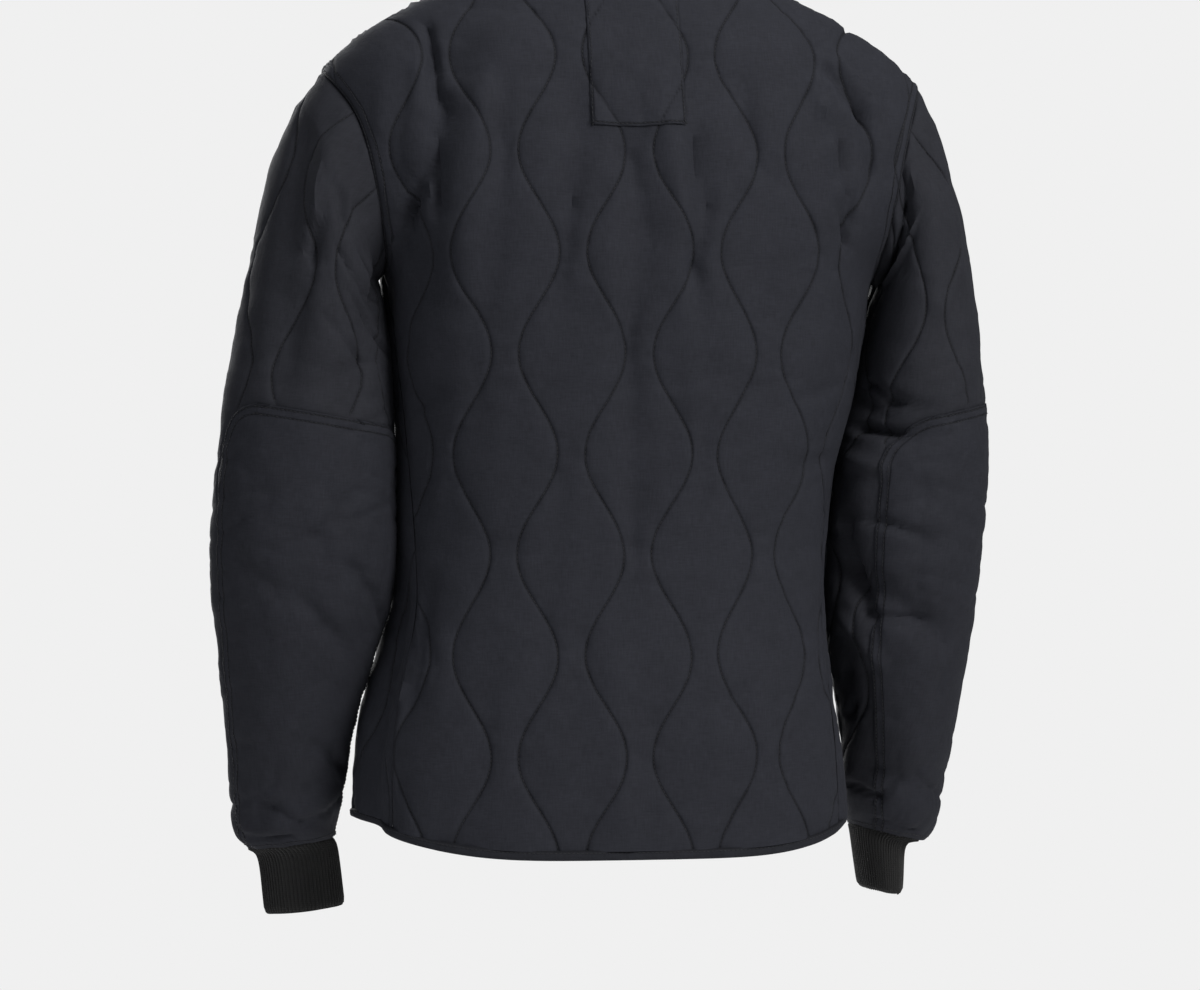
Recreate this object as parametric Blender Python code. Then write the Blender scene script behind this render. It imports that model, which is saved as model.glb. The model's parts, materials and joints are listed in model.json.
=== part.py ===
"""Quilted liner jacket, worn and closed, with the arms hanging.

Metres, +Z up. The front faces -Y, +X is the wearer's left, and the origin lies at the base of
the neck, where the shoulders carry the jacket. Every cloth panel is a wall lofted over one body
form or one sleeve form, so neighbouring panels share their seam points and normals.
"""

import functools
import math

import bmesh
import bpy
import numpy as np
from mathutils import Vector

# Cloth and seams
QUILT_WALL = 0.003  # face cloth, wadding and backing
OVERLAY_WALL = 0.0014  # one plain layer sewn on top
RIB_WALL = 0.003
TAPE_WALL = 0.004  # folded tape round the raw edge
SEAM_GAP = 0.0004
OVERLAY_LIFT = 0.0008  # clearance between a panel and what is sewn on it

# Closure
OVERLAP = 0.013  # how far each front passes the centre
UNDERLAP_DEPTH = 0.0055  # how far the right front drops to lie under the left
UNDERLAP_START = 150.0  # degrees round from the centre back
UNDERLAP_FULL = 168.0
TAPE_WIDTH = 0.007
SNAP_RADIUS = 0.0075
SNAP_TOP_RADIUS = 0.0062
SNAP_HEIGHT = 0.0024
SNAP_SIDES = 16
SNAP_HEIGHTS = (-0.115, -0.235, -0.355, -0.475, -0.595)

# Armholes, in degrees from the side line at mid height
ARMHOLE_BACK = 19.0
ARMHOLE_FRONT = 25.0
SIDE_SEAM_HEM = 70.0
SIDE_SEAM_UNDERARM = 88.0
SHOULDER_SEAM = 91.0

# Centre-back neck patch
PATCH_WIDTH = 0.074
PATCH_BOTTOM = -0.150

# Mesh steps
PATCH_COLUMNS = 4
BACK_SIDE_COLUMNS = 6  # columns of the back on each side of the patch
FRONT_COLUMNS = 8
LOWER_ROWS = 13
ARMHOLE_ROWS = 10
YOKE_ROWS = 5
SLEEVE_ROWS = 18
FIRST_SLEEVE_ROW = 0.3  # first sleeve section past the armhole seam, in rows of its table

# Body sections from hem to neck. z_back, z_side and z_front are heights of one section, spread
# how wide its back and front heights run, left and right its half widths, back and front its
# depths, square its superellipse power.
BODY_COLUMNS = (
    "name", "z_back", "z_side", "z_front", "spread", "left", "right", "back", "front", "square",
)
BODY = (
    ("hem", -0.709, -0.683, -0.705, 8.0, 0.208, 0.187, 0.122, 0.140, 2.5),
    ("skirt", -0.650, -0.636, -0.650, 6.0, 0.206, 0.184, 0.123, 0.139, 2.5),
    ("hip", -0.590, -0.585, -0.590, 4.0, 0.197, 0.177, 0.122, 0.136, 2.5),
    ("low_waist", -0.530, -0.528, -0.530, 2.0, 0.181, 0.171, 0.117, 0.132, 2.4),
    ("waist", -0.475, -0.475, -0.475, 2.0, 0.174, 0.170, 0.114, 0.130, 2.4),
    ("ribs", -0.415, -0.415, -0.415, 2.0, 0.174, 0.177, 0.116, 0.131, 2.4),
    ("high_ribs", -0.352, -0.352, -0.352, 2.0, 0.176, 0.192, 0.121, 0.134, 2.5),
    ("chest", -0.302, -0.302, -0.302, 2.0, 0.180, 0.2015, 0.125, 0.135, 2.5),
    ("underarm", -0.254, -0.252, -0.254, 2.0, 0.186, 0.211, 0.127, 0.133, 2.5),
    ("low_armhole", -0.218, -0.214, -0.219, 2.0, 0.206, 0.234, 0.126, 0.129, 2.6),
    ("mid_armhole", -0.182, -0.174, -0.184, 2.0, 0.225, 0.254, 0.123, 0.122, 2.6),
    ("high_armhole", -0.145, -0.132, -0.152, 2.0, 0.232, 0.256, 0.118, 0.112, 2.5),
    ("shoulder_tip", -0.110, -0.094, -0.130, 2.0, 0.234, 0.245, 0.110, 0.101, 2.3),
    ("outer_yoke", -0.082, -0.057, -0.119, 2.0, 0.195, 0.197, 0.102, 0.096, 2.3),
    ("mid_yoke", -0.058, -0.033, -0.107, 2.0, 0.150, 0.150, 0.093, 0.091, 2.2),
    ("inner_yoke", -0.033, -0.012, -0.093, 2.0, 0.110, 0.110, 0.083, 0.086, 2.1),
    ("neck", -0.006, 0.007, -0.066, 2.0, 0.074, 0.074, 0.067, 0.078, 2.0),
)
UNDERARM_ROW = 8.0
TIP_ROW = 12.0
NECK_ROW = 16.0
HEM_TAPE_ROW = 0.125  # top edge of the hem tape
NECK_TAPE_ROW = 15.82  # lower edge of the neck tape
ROW_GAP = 0.012  # a seam gap in rows of the body table

# Sleeve sections from the armhole down. out_ and in_ are the two ends of a section across the
# arm, y its middle and depth its half depth. Rows from cuff_seam on are the knitted cuff.
SLEEVE_COLUMNS = ("name", "out_x", "out_z", "in_x", "in_z", "y", "depth")
SLEEVE_LEFT = (
    ("cap", 0.2535, -0.122, 0.191, -0.260, 0.000, 0.075),
    ("low_cap", 0.2715, -0.168, 0.1875, -0.276, 0.000, 0.078),
    ("high_arm", 0.283, -0.215, 0.1840, -0.297, 0.002, 0.077),
    ("mid_arm", 0.294, -0.268, 0.1815, -0.330, 0.005, 0.074),
    ("low_arm", 0.305, -0.326, 0.1800, -0.358, 0.008, 0.070),
    ("above_elbow", 0.315, -0.388, 0.1785, -0.400, 0.010, 0.066),
    ("elbow", 0.320, -0.450, 0.1785, -0.456, 0.010, 0.063),
    ("below_elbow", 0.319, -0.508, 0.1815, -0.510, 0.004, 0.059),
    ("forearm", 0.313, -0.564, 0.1950, -0.560, -0.008, 0.054),
    ("mid_forearm", 0.306, -0.620, 0.2070, -0.612, -0.024, 0.049),
    ("low_forearm", 0.301, -0.668, 0.2120, -0.659, -0.042, 0.045),
    ("blouse", 0.297, -0.697, 0.2180, -0.688, -0.052, 0.043),
    ("cuff_seam", 0.287, -0.711, 0.218, -0.703, -0.058, 0.034),
    ("cuff_top", 0.278, -0.721, 0.214, -0.714, -0.061, 0.029),
    ("cuff_end", 0.272, -0.765, 0.208, -0.758, -0.067, 0.027),
)
SLEEVE_RIGHT = (
    ("cap", 0.259, -0.124, 0.2155, -0.260, 0.000, 0.075),
    ("low_cap", 0.274, -0.168, 0.2110, -0.277, 0.000, 0.078),
    ("high_arm", 0.286, -0.215, 0.2065, -0.298, 0.002, 0.077),
    ("mid_arm", 0.294, -0.268, 0.2000, -0.326, 0.005, 0.074),
    ("low_arm", 0.301, -0.326, 0.1925, -0.360, 0.008, 0.070),
    ("above_elbow", 0.303, -0.388, 0.1820, -0.402, 0.010, 0.066),
    ("elbow", 0.301, -0.450, 0.1755, -0.457, 0.010, 0.063),
    ("below_elbow", 0.297, -0.508, 0.1755, -0.510, 0.004, 0.059),
    ("forearm", 0.291, -0.564, 0.1820, -0.560, -0.008, 0.054),
    ("mid_forearm", 0.285, -0.620, 0.1925, -0.612, -0.024, 0.049),
    ("low_forearm", 0.281, -0.668, 0.1985, -0.657, -0.042, 0.045),
    ("blouse", 0.277, -0.700, 0.2045, -0.686, -0.052, 0.043),
    ("cuff_seam", 0.268, -0.713, 0.209, -0.699, -0.058, 0.037),
    ("cuff_top", 0.256, -0.719, 0.212, -0.710, -0.061, 0.035),
    ("cuff_end", 0.254, -0.757, 0.220, -0.752, -0.067, 0.034),
)
CUFF_SEAM_ROW = 13.0
CUFF_END_ROW = 15.0
CUFF_MIDDLE_ROWS = (13.5, 14.0)
CUFF_ROW_LENGTH = 0.012  # metres of cuff between its seam's row and the next
CAP_EASE = 0.35  # how much the sleeve head bends between the armhole and its first section

# Elbow panels: first and last angle round the sleeve, from its outer edge towards the back.
PANEL_TOP_ROW = 5.4
PANEL_BOTTOM_ROW = 12.6
PANEL_CORNER_DROP = 0.45  # share of one grid step that the two top corners are rounded by
PANEL_SPAN = {"left": (18.0, 180.0), "right": (-18.0, 126.0)}

# Largest folds: two ends, half width and height. A turn is in degrees round the body or the
# sleeve, and a place is a height in metres on the body and a row number on a sleeve.
FOLD_COLUMNS = ("name", "turn_a", "place_a", "turn_b", "place_b", "half_width", "height")
FOLD_RADIUS = 0.15  # one degree round the body is this radius times a radian
BODY_FOLDS = (
    ("left_side_valley", 80.0, -0.52, 78.0, -0.72, 0.016, -0.011),
    ("back_ridge_right", -12.0, -0.15, -22.0, -0.34, 0.020, 0.005),
    ("back_valley_right", -19.0, -0.16, -17.0, -0.36, 0.014, -0.005),
    ("back_valley_mid", 3.0, -0.18, 2.0, -0.44, 0.016, -0.004),
    ("back_valley_left", 22.0, -0.13, 30.0, -0.25, 0.016, -0.005),
    ("left_blade_valley", 58.0, -0.10, 66.0, -0.24, 0.018, -0.008),
    ("left_blade_ridge", 48.0, -0.12, 54.0, -0.25, 0.018, 0.005),
    ("right_blade_valley", -63.0, -0.17, -70.0, -0.24, 0.018, -0.006),
    ("front_drape_left", 125.0, -0.20, 135.0, -0.52, 0.022, 0.005),
    ("front_drape_right", -128.0, -0.18, -140.0, -0.46, 0.022, 0.005),
)
SLEEVE_FOLD_RADIUS = 0.06
SLEEVE_ROW_LENGTH = 0.052
SLEEVE_FOLDS = {
    "left": (
        ("long_fold", 40.0, 1.5, 60.0, 4.5, 0.014, -0.006),
        ("inner_fold", 136.0, 3.0, 110.0, 5.0, 0.014, -0.005),
        ("wrist_fold", 60.0, 11.4, 120.0, 10.8, 0.012, -0.004),
    ),
    "right": (
        ("elbow_fold", 148.0, 5.0, 110.0, 5.5, 0.014, -0.007),
        ("crook_fold", 150.0, 7.6, 80.0, 8.4, 0.014, -0.009),
        ("wrist_fold", 120.0, 10.8, 60.0, 11.1, 0.012, -0.005),
    ),
}

MATERIALS = {
    "quilted_cloth": ((0.029, 0.030, 0.036), 0.85),
    "plain_cloth": ((0.026, 0.027, 0.032), 0.85),
    "tape": ((0.022, 0.022, 0.026), 0.80),
    "rib_knit": ((0.010, 0.010, 0.010), 0.95),
    "snap_metal": ((0.035, 0.035, 0.038), 0.35),
}
METALS = {"snap_metal"}

PATCH_LINES = np.linspace(-PATCH_WIDTH / 2, PATCH_WIDTH / 2, PATCH_COLUMNS + 1)
DIFFERENCE_STEP = 0.01  # step for surface normals, in degrees or table rows
SEAM_STEP = 1.0  # degrees along the armhole between which its direction is taken
HEIGHT_SAMPLES = 400  # rows at which a height column is read to find a row from a height
TURN_PASSES = 6  # times that the turn of a place near the centre back is refined
END_SINE = 0.01  # sine below which an armhole angle is its top or its bottom end
ROW_TOLERANCE = 1e-6
SHARP_ANGLE = math.radians(50)
SIDES = {"left": 1.0, "right": -1.0}


def curves_of(table, columns):
    """Each named column of a table as its own list."""
    return {name: [entry[place] for entry in table] for place, name in enumerate(columns) if place}


BODY_CURVES = curves_of(BODY, BODY_COLUMNS)
SLEEVE_CURVES = {
    "left": curves_of(SLEEVE_LEFT, SLEEVE_COLUMNS),
    "right": curves_of(SLEEVE_RIGHT, SLEEVE_COLUMNS),
}


def along(values, row):
    """Read a column at a row number between two table rows, as a smooth curve."""
    last = len(values) - 1
    start = min(max(int(math.floor(row)), 0), last - 1)
    part = row - start
    below, above = values[start], values[start + 1]
    before = values[start - 1] if start > 0 else 2 * below - above
    after = values[start + 2] if start + 2 <= last else 2 * above - below
    slope_a = (above - before) / 2
    slope_b = (after - below) / 2
    cube, square = part**3, part**2
    return (
        (2 * cube - 3 * square + 1) * below
        + (cube - 2 * square + part) * slope_a
        + (3 * square - 2 * cube) * above
        + (cube - square) * slope_b
    )


def smooth_step(value, start, end):
    """Rise from 0 at start to 1 at end with no corner."""
    part = min(max((value - start) / (end - start), 0.0), 1.0)
    return part * part * (3 - 2 * part)


def crease(across, beyond, half_width):
    """Height of a fold at a distance across its line and beyond its ends, from 0 to 1."""
    return math.exp(-((across / half_width) ** 2)) * math.exp(-((beyond / (2 * half_width)) ** 2))


def fold_height(folds, x, y):
    """Sum the folds at one place of a flattened surface; ends and widths in metres."""
    total = 0.0
    for ax, ay, bx, by, half_width, height in folds:
        length = math.hypot(bx - ax, by - ay)
        ux, uy = (bx - ax) / length, (by - ay) / length
        run = (x - ax) * ux + (y - ay) * uy
        across = (x - ax) * uy - (y - ay) * ux
        beyond = max(-run, run - length, 0.0)
        total += height * crease(across, beyond, half_width)
    return total


def flat_folds(table, radius, place_length):
    """Turn a fold table's turns and places into metres on the flattened surface."""
    flat = []
    for entry in table:
        fold = dict(zip(FOLD_COLUMNS, entry))
        ends = [
            value
            for end in ("a", "b")
            for value in (
                math.radians(fold[f"turn_{end}"]) * radius,
                fold[f"place_{end}"] * place_length,
            )
        ]
        flat.append((*ends, fold["half_width"], fold["height"]))
    return flat


BODY_FOLDS_FLAT = flat_folds(BODY_FOLDS, FOLD_RADIUS, 1.0)
SLEEVE_FOLDS_FLAT = {
    side: flat_folds(table, SLEEVE_FOLD_RADIUS, SLEEVE_ROW_LENGTH)
    for side, table in SLEEVE_FOLDS.items()
}


@functools.lru_cache(maxsize=None)
def body_section(row):
    return {name: along(values, row) for name, values in BODY_CURVES.items()}


def body_base(turn, row):
    """A point of the body form: turn in degrees from the centre back towards the wearer's left."""
    size = body_section(row)
    sine, cosine = math.sin(math.radians(turn)), math.cos(math.radians(turn))
    half = size["left"] if sine > 0 else size["right"]
    deep = size["back"] if cosine > 0 else size["front"]
    power = size["square"]
    radius = (abs(sine / half) ** power + abs(cosine / deep) ** power) ** (-1 / power)
    far_z = size["z_back"] if cosine > 0 else size["z_front"]
    z = size["z_side"] + (far_z - size["z_side"]) * (1 - abs(sine) ** size["spread"])
    return np.array((radius * sine, radius * cosine, z))


def surface_normal(form, turn, row, first_row, last_row):
    """Outward normal of a form by differences, one-sided at its first and last rows."""
    low, high = max(row - DIFFERENCE_STEP, first_row), min(row + DIFFERENCE_STEP, last_row)
    around = form(turn + DIFFERENCE_STEP, row) - form(turn - DIFFERENCE_STEP, row)
    upward = form(turn, high) - form(turn, low)
    normal = np.cross(upward, around)
    return normal / np.linalg.norm(normal)


def body_normal(turn, row):
    return surface_normal(body_base, turn, row, 0.0, NECK_ROW)


def body_point(turn, row, out=0.0):
    """The body cloth's face, moved out by a distance; the right front drops under the left."""
    base, normal = body_base(turn, row), body_normal(turn, row)
    lift = fold_height(BODY_FOLDS_FLAT, math.radians(turn) * FOLD_RADIUS, base[2])
    under = UNDERLAP_DEPTH * smooth_step(-turn, UNDERLAP_START, UNDERLAP_FULL)
    return base + normal * (lift - under + out)


@functools.lru_cache(maxsize=None)
def height_curve(column):
    """Row numbers of the body table and their heights in one column."""
    rows = np.linspace(0.0, NECK_ROW, HEIGHT_SAMPLES)
    return rows, [along(BODY_CURVES[column], row) for row in rows]


def row_at_height(column, z):
    """The body table's row number where a height column reaches z."""
    rows, heights = height_curve(column)
    return float(np.interp(z, heights, rows))


@functools.lru_cache(maxsize=None)
def armhole(side, angle):
    """Turn and row of the armhole seam; angle 0 is the shoulder tip, 90 the back, 180 the underarm."""
    top = along(BODY_CURVES["z_side"], TIP_ROW)
    bottom = along(BODY_CURVES["z_side"], UNDERARM_ROW)
    sine, cosine = math.sin(math.radians(angle)), math.cos(math.radians(angle))
    row = row_at_height("z_side", bottom + (top - bottom) * (1 + cosine) / 2)
    reach = ARMHOLE_BACK if sine > 0 else ARMHOLE_FRONT
    middle = SIDE_SEAM_UNDERARM + (SHOULDER_SEAM - SIDE_SEAM_UNDERARM) * (1 + cosine) / 2
    return SIDES[side] * (middle - reach * sine), row


@functools.lru_cache(maxsize=None)
def armhole_point(side, angle):
    return body_point(*armhole(side, angle))


@functools.lru_cache(maxsize=None)
def sleeve_sizes(side, row):
    return {name: along(values, row - 1) for name, values in SLEEVE_CURVES[side].items()}


def sleeve_section(side, angle, row):
    """A point of the sleeve form at table row 1 or beyond."""
    size = sleeve_sizes(side, row)
    outer = np.array((size["out_x"], size["y"], size["out_z"]))
    inner = np.array((size["in_x"], size["y"], size["in_z"]))
    cosine, sine = math.cos(math.radians(angle)), math.sin(math.radians(angle))
    point = (outer + inner) / 2 + (outer - inner) / 2 * cosine
    point[1] += size["depth"] * sine
    point[0] *= SIDES[side]
    return point


def sleeve_base(side, angle, row):
    """The sleeve form: it leaves the armhole at row 0 and follows its table from row 1."""
    if row >= 1:
        return sleeve_section(side, angle, row)
    blend = row * row * (3 - 2 * row)
    seam, cap = armhole_point(side, angle), sleeve_section(side, angle, 1.0)
    return seam * (1 - row) + cap * row + (cap - seam) * (blend - row) * CAP_EASE


def sleeve_normal(side, angle, row):
    normal = surface_normal(
        lambda turn, place: sleeve_base(side, turn, place), angle, row, 0.0, CUFF_END_ROW
    )
    return SIDES[side] * normal


def mitre_normal(side, angle):
    """Shared normal of body and sleeve cloth along the armhole seam."""
    body = body_normal(*armhole(side, angle))
    total = body + sleeve_normal(side, angle, 0.0)
    return total / np.linalg.norm(total)


def sleeve_point(side, angle, row, out=0.0):
    """The sleeve cloth's face, moved out by a distance."""
    if row <= 0:
        before, after = (armhole_point(side, angle + step) for step in (-SEAM_STEP, SEAM_STEP))
        ahead = after - before
        normal = mitre_normal(side, angle)
        away = np.cross(normal, ahead)
        away *= math.copysign(SEAM_GAP / np.linalg.norm(away), away[0] * SIDES[side])
        return armhole_point(side, angle) + away + normal * out
    flat = (math.radians(angle) * SLEEVE_FOLD_RADIUS, row * SLEEVE_ROW_LENGTH)
    lift = fold_height(SLEEVE_FOLDS_FLAT[side], *flat)
    return sleeve_base(side, angle, row) + sleeve_normal(side, angle, row) * (lift + out)


def body_rows():
    """Rows of the body panels: below the armhole, beside it, and over the shoulder."""
    low = np.linspace(HEM_TAPE_ROW, UNDERARM_ROW, LOWER_ROWS, endpoint=False)
    beside = [
        armhole("left", 180.0 - 180.0 * step / ARMHOLE_ROWS)[1] for step in range(ARMHOLE_ROWS)
    ]
    high = np.linspace(TIP_ROW, NECK_TAPE_ROW, YOKE_ROWS + 1)
    return [*low, *beside, *high]


def panel_edge(side, row, back):
    """Turn of a body panel's side, armhole or shoulder edge at a row, without its sign."""
    if row < UNDERARM_ROW:
        share = (row / UNDERARM_ROW) ** 2
        return SIDE_SEAM_HEM + (SIDE_SEAM_UNDERARM - SIDE_SEAM_HEM) * share
    if row >= TIP_ROW:
        return SHOULDER_SEAM
    return abs(armhole(side, armhole_angle(row, back))[0])


@functools.lru_cache(maxsize=None)
def armhole_angle(row, back):
    """Angle of the armhole seam at a row, on the back or the front."""
    angles = np.linspace(0.0, 180.0, 10 * ARMHOLE_ROWS + 1)
    falling = [-armhole("left", float(angle))[1] for angle in angles]
    angle = float(np.interp(-row, falling, angles))
    return angle if back else -angle


def edge_inset(turn, row):
    """Degrees that half a seam gap takes at a place on the body."""
    return math.degrees(SEAM_GAP / 2 / np.linalg.norm(body_base(turn, row)[:2]))


def on_armhole(row):
    return UNDERARM_ROW - ROW_TOLERANCE <= row <= TIP_ROW + ROW_TOLERANCE


def body_grid(turns_of, rows, out, inner):
    """Outer and inner grids of a body panel; turns_of gives the turns of one row's columns."""
    return [
        [[body_point(turn, row, depth) for turn in turns_of(row)] for row in rows]
        for depth in (out, inner)
    ]


def mitre_edge(grids, rows, side, back, column, out, inner):
    """Lay the armhole edge of a body panel on the seam, with the seam's own normal."""
    for grid, depth in zip(grids, (out, inner)):
        for index, row in enumerate(rows):
            if on_armhole(row):
                angle = armhole_angle(row, back)
                at_end = abs(math.sin(math.radians(angle))) < END_SINE
                inset = edge_inset(90.0, row) * (-1 if back else 1) if at_end else 0.0
                edge = SIDES[side] * (panel_edge(side, row, back) + inset)
                grid[index][column] = body_point(edge, row) + mitre_normal(side, angle) * depth


def make_material(name):
    colour, roughness = MATERIALS[name]
    material = bpy.data.materials.new(name)
    material.use_nodes = True
    shader = material.node_tree.nodes["Principled BSDF"]
    shader.inputs["Base Color"].default_value = (*colour, 1.0)
    shader.inputs["Roughness"].default_value = roughness
    shader.inputs["Metallic"].default_value = 1.0 if name in METALS else 0.0
    return material


def link_mesh(name, bm, material, collection):
    """Turn a bmesh into a named object with outward faces and its own material."""
    bmesh.ops.recalc_face_normals(bm, faces=bm.faces)
    mesh = bpy.data.meshes.new(name)
    bm.to_mesh(mesh)
    bm.free()
    mesh.shade_smooth()
    mesh.set_sharp_from_angle(angle=SHARP_ANGLE)
    mesh.materials.append(material)
    thing = bpy.data.objects.new(name, mesh)
    collection.objects.link(thing)
    return thing


def make_wall(name, grids, material, collection, closed=False):
    """A closed wall from an outer and an inner grid of points, a ring when closed."""
    bm = bmesh.new()
    outer, inner = ([[bm.verts.new(point) for point in line] for line in grid] for grid in grids)
    rows, columns = len(outer), len(outer[0])
    steps = columns if closed else columns - 1
    for row in range(rows - 1):
        for column in range(steps):
            after = (column + 1) % columns
            for skin in (outer, inner):
                corners = (skin[row][column], skin[row][after])
                bm.faces.new((*corners, skin[row + 1][after], skin[row + 1][column]))
    for row in (0, rows - 1):
        for column in range(steps):
            after = (column + 1) % columns
            corners = (outer[row][column], outer[row][after])
            bm.faces.new((*corners, inner[row][after], inner[row][column]))
    if not closed:
        for column in (0, columns - 1):
            for row in range(rows - 1):
                corners = (outer[row][column], outer[row + 1][column])
                bm.faces.new((*corners, inner[row + 1][column], inner[row][column]))
    return link_mesh(name, bm, material, collection)


def back_edge(side, row):
    """Signed turn of the back panel's edge, half a seam gap inside the seam line."""
    return SIDES[side] * (panel_edge(side, row, True) - edge_inset(90.0 * SIDES[side], row))


def turn_at(x, row):
    """Turn at which a body section near the centre back reaches x."""
    turn = 0.0
    for _ in range(TURN_PASSES):
        turn = math.degrees(math.atan2(x, body_base(turn, row)[1]))
    return turn


def back_turns(row):
    """Turns of the back's columns: straight up the patch, then spread to the two edges."""
    middle = [turn_at(x, row) for x in PATCH_LINES]
    right = np.linspace(back_edge("right", row), middle[0], BACK_SIDE_COLUMNS, endpoint=False)
    left = np.linspace(back_edge("left", row), middle[-1], BACK_SIDE_COLUMNS, endpoint=False)
    return [*right, *middle, *left[::-1]]


def make_back(material, collection):
    rows = body_rows()
    grids = body_grid(back_turns, rows, 0.0, -QUILT_WALL)
    mitre_edge(grids, rows, "left", True, -1, 0.0, -QUILT_WALL)
    mitre_edge(grids, rows, "right", True, 0, 0.0, -QUILT_WALL)
    make_wall("back", grids, material, collection)


def front_edge_turn(row):
    """Turn of a front's own edge beyond the centre front, without its sign."""
    return 180.0 + math.degrees(OVERLAP / along(BODY_CURVES["front"], row))


def tape_turn(row, width):
    """Degrees that a width takes across the centre front."""
    return math.degrees(width / along(BODY_CURVES["front"], row))


def front_turns(side, row):
    """Turns of one front's columns, from the side seam to its tape, and its own edge last."""
    seam = panel_edge(side, row, False) + edge_inset(90.0 * SIDES[side], row)
    tape = front_edge_turn(row) - tape_turn(row, TAPE_WIDTH)
    columns = np.linspace(seam, tape, FRONT_COLUMNS + 1)
    return [SIDES[side] * turn for turn in (*columns, front_edge_turn(row))]


def front_panel_turns(side, row):
    """The columns of the cloth alone, a seam gap short of the tape."""
    turns = front_turns(side, row)[:-1]
    turns[-1] -= SIDES[side] * tape_turn(row, SEAM_GAP)
    return turns


def make_front(side, material, collection):
    rows = body_rows()
    grids = body_grid(lambda row: front_panel_turns(side, row), rows, 0.0, -QUILT_WALL)
    mitre_edge(grids, rows, side, False, 0, 0.0, -QUILT_WALL)
    make_wall(f"front_{side}", grids, material, collection)


def tape_depths():
    """Outer and inner faces of a tape that wraps both sides of the quilted wall."""
    extra = (TAPE_WALL - QUILT_WALL) / 2
    return extra, -QUILT_WALL - extra


def make_front_binding(side, material, collection):
    rows = body_rows()
    rows[0] += ROW_GAP
    rows[-1] -= ROW_GAP
    grids = body_grid(lambda row: front_turns(side, row)[-2:], rows, *tape_depths())
    make_wall(f"front_binding_{side}", grids, material, collection)


def make_ring_binding(name, panel_row, rows, material, collection):
    """Tape round the hem or the neck; its points follow the columns of the panels it binds."""
    turns = [
        *reversed(front_turns("right", panel_row)),
        *back_turns(panel_row)[1:-1],
        *front_turns("left", panel_row),
    ]
    grids = body_grid(lambda row: turns, rows, *tape_depths())
    make_wall(name, grids, material, collection)


def make_neck_patch(material, collection):
    """Plain patch laid on the upper back, from the back's own points moved out."""
    lowest = row_at_height("z_back", PATCH_BOTTOM)
    rows = [row for row in body_rows() if row > lowest]
    grids = body_grid(back_turns, rows, OVERLAY_LIFT + OVERLAY_WALL, OVERLAY_LIFT)
    across = slice(BACK_SIDE_COLUMNS, BACK_SIDE_COLUMNS + PATCH_COLUMNS + 1)
    grids = [[line[across] for line in grid] for grid in grids]
    make_wall("back_neck_patch", grids, material, collection)


RING_STEP = 180.0 / ARMHOLE_ROWS  # the sleeves meet the armhole edges point for point


def sleeve_rows():
    end = CUFF_SEAM_ROW - SEAM_GAP / SLEEVE_ROW_LENGTH
    return [0.0, *np.linspace(FIRST_SLEEVE_ROW, end, SLEEVE_ROWS)]


def tube_grids(side, rows, turns, out, inner):
    """Outer and inner grids of a sleeve or cuff, or of a part of one."""
    return [
        [[sleeve_point(side, turn, float(row), depth) for turn in turns] for row in rows]
        for depth in (out, inner)
    ]


def ring_turns():
    """Angles round a sleeve between -180 and 180 degrees."""
    return [RING_STEP * step for step in range(1 - ARMHOLE_ROWS, ARMHOLE_ROWS + 1)]


def make_sleeve(side, material, collection):
    grids = tube_grids(side, sleeve_rows(), ring_turns(), 0.0, -QUILT_WALL)
    make_wall(f"sleeve_{side}", grids, material, collection, closed=True)


def make_cuff(side, material, collection):
    rows = [CUFF_SEAM_ROW + SEAM_GAP / CUFF_ROW_LENGTH, *CUFF_MIDDLE_ROWS, CUFF_END_ROW]
    grids = tube_grids(side, rows, ring_turns(), 0.0, -RIB_WALL)
    make_wall(f"cuff_{side}", grids, material, collection, closed=True)


def make_elbow_panel(side, material, collection):
    """Plain overlay on the lower sleeve, from its own points, with two rounded top corners."""
    first, last = PANEL_SPAN[side]
    turns = np.arange(first, last + RING_STEP / 2, RING_STEP)
    rows = [row for row in sleeve_rows() if PANEL_TOP_ROW < row < PANEL_BOTTOM_ROW]
    grids = tube_grids(side, rows, turns, OVERLAY_LIFT + OVERLAY_WALL, OVERLAY_LIFT)
    for grid in grids:
        for column in (0, -1):
            grid[0][column] += (grid[1][column] - grid[0][column]) * PANEL_CORNER_DROP
    make_wall(f"elbow_panel_{side}", grids, material, collection)


def make_snap(number, z, material, collection):
    """Snap cap on the left front: a shallow cone-sided disc facing out."""
    row = row_at_height("z_front", z)
    bm = bmesh.new()
    bmesh.ops.create_cone(
        bm,
        cap_ends=True,
        segments=SNAP_SIDES,
        radius1=SNAP_RADIUS,
        radius2=SNAP_TOP_RADIUS,
        depth=SNAP_HEIGHT,
    )
    snap = link_mesh(f"snap_{number}", bm, material, collection)
    normal = Vector(body_normal(180.0, row))
    snap.rotation_mode = "QUATERNION"
    snap.rotation_quaternion = normal.to_track_quat("Z", "Y")
    snap.location = Vector(body_point(180.0, row)) + normal * (2 * OVERLAY_LIFT + SNAP_HEIGHT / 2)


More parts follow.
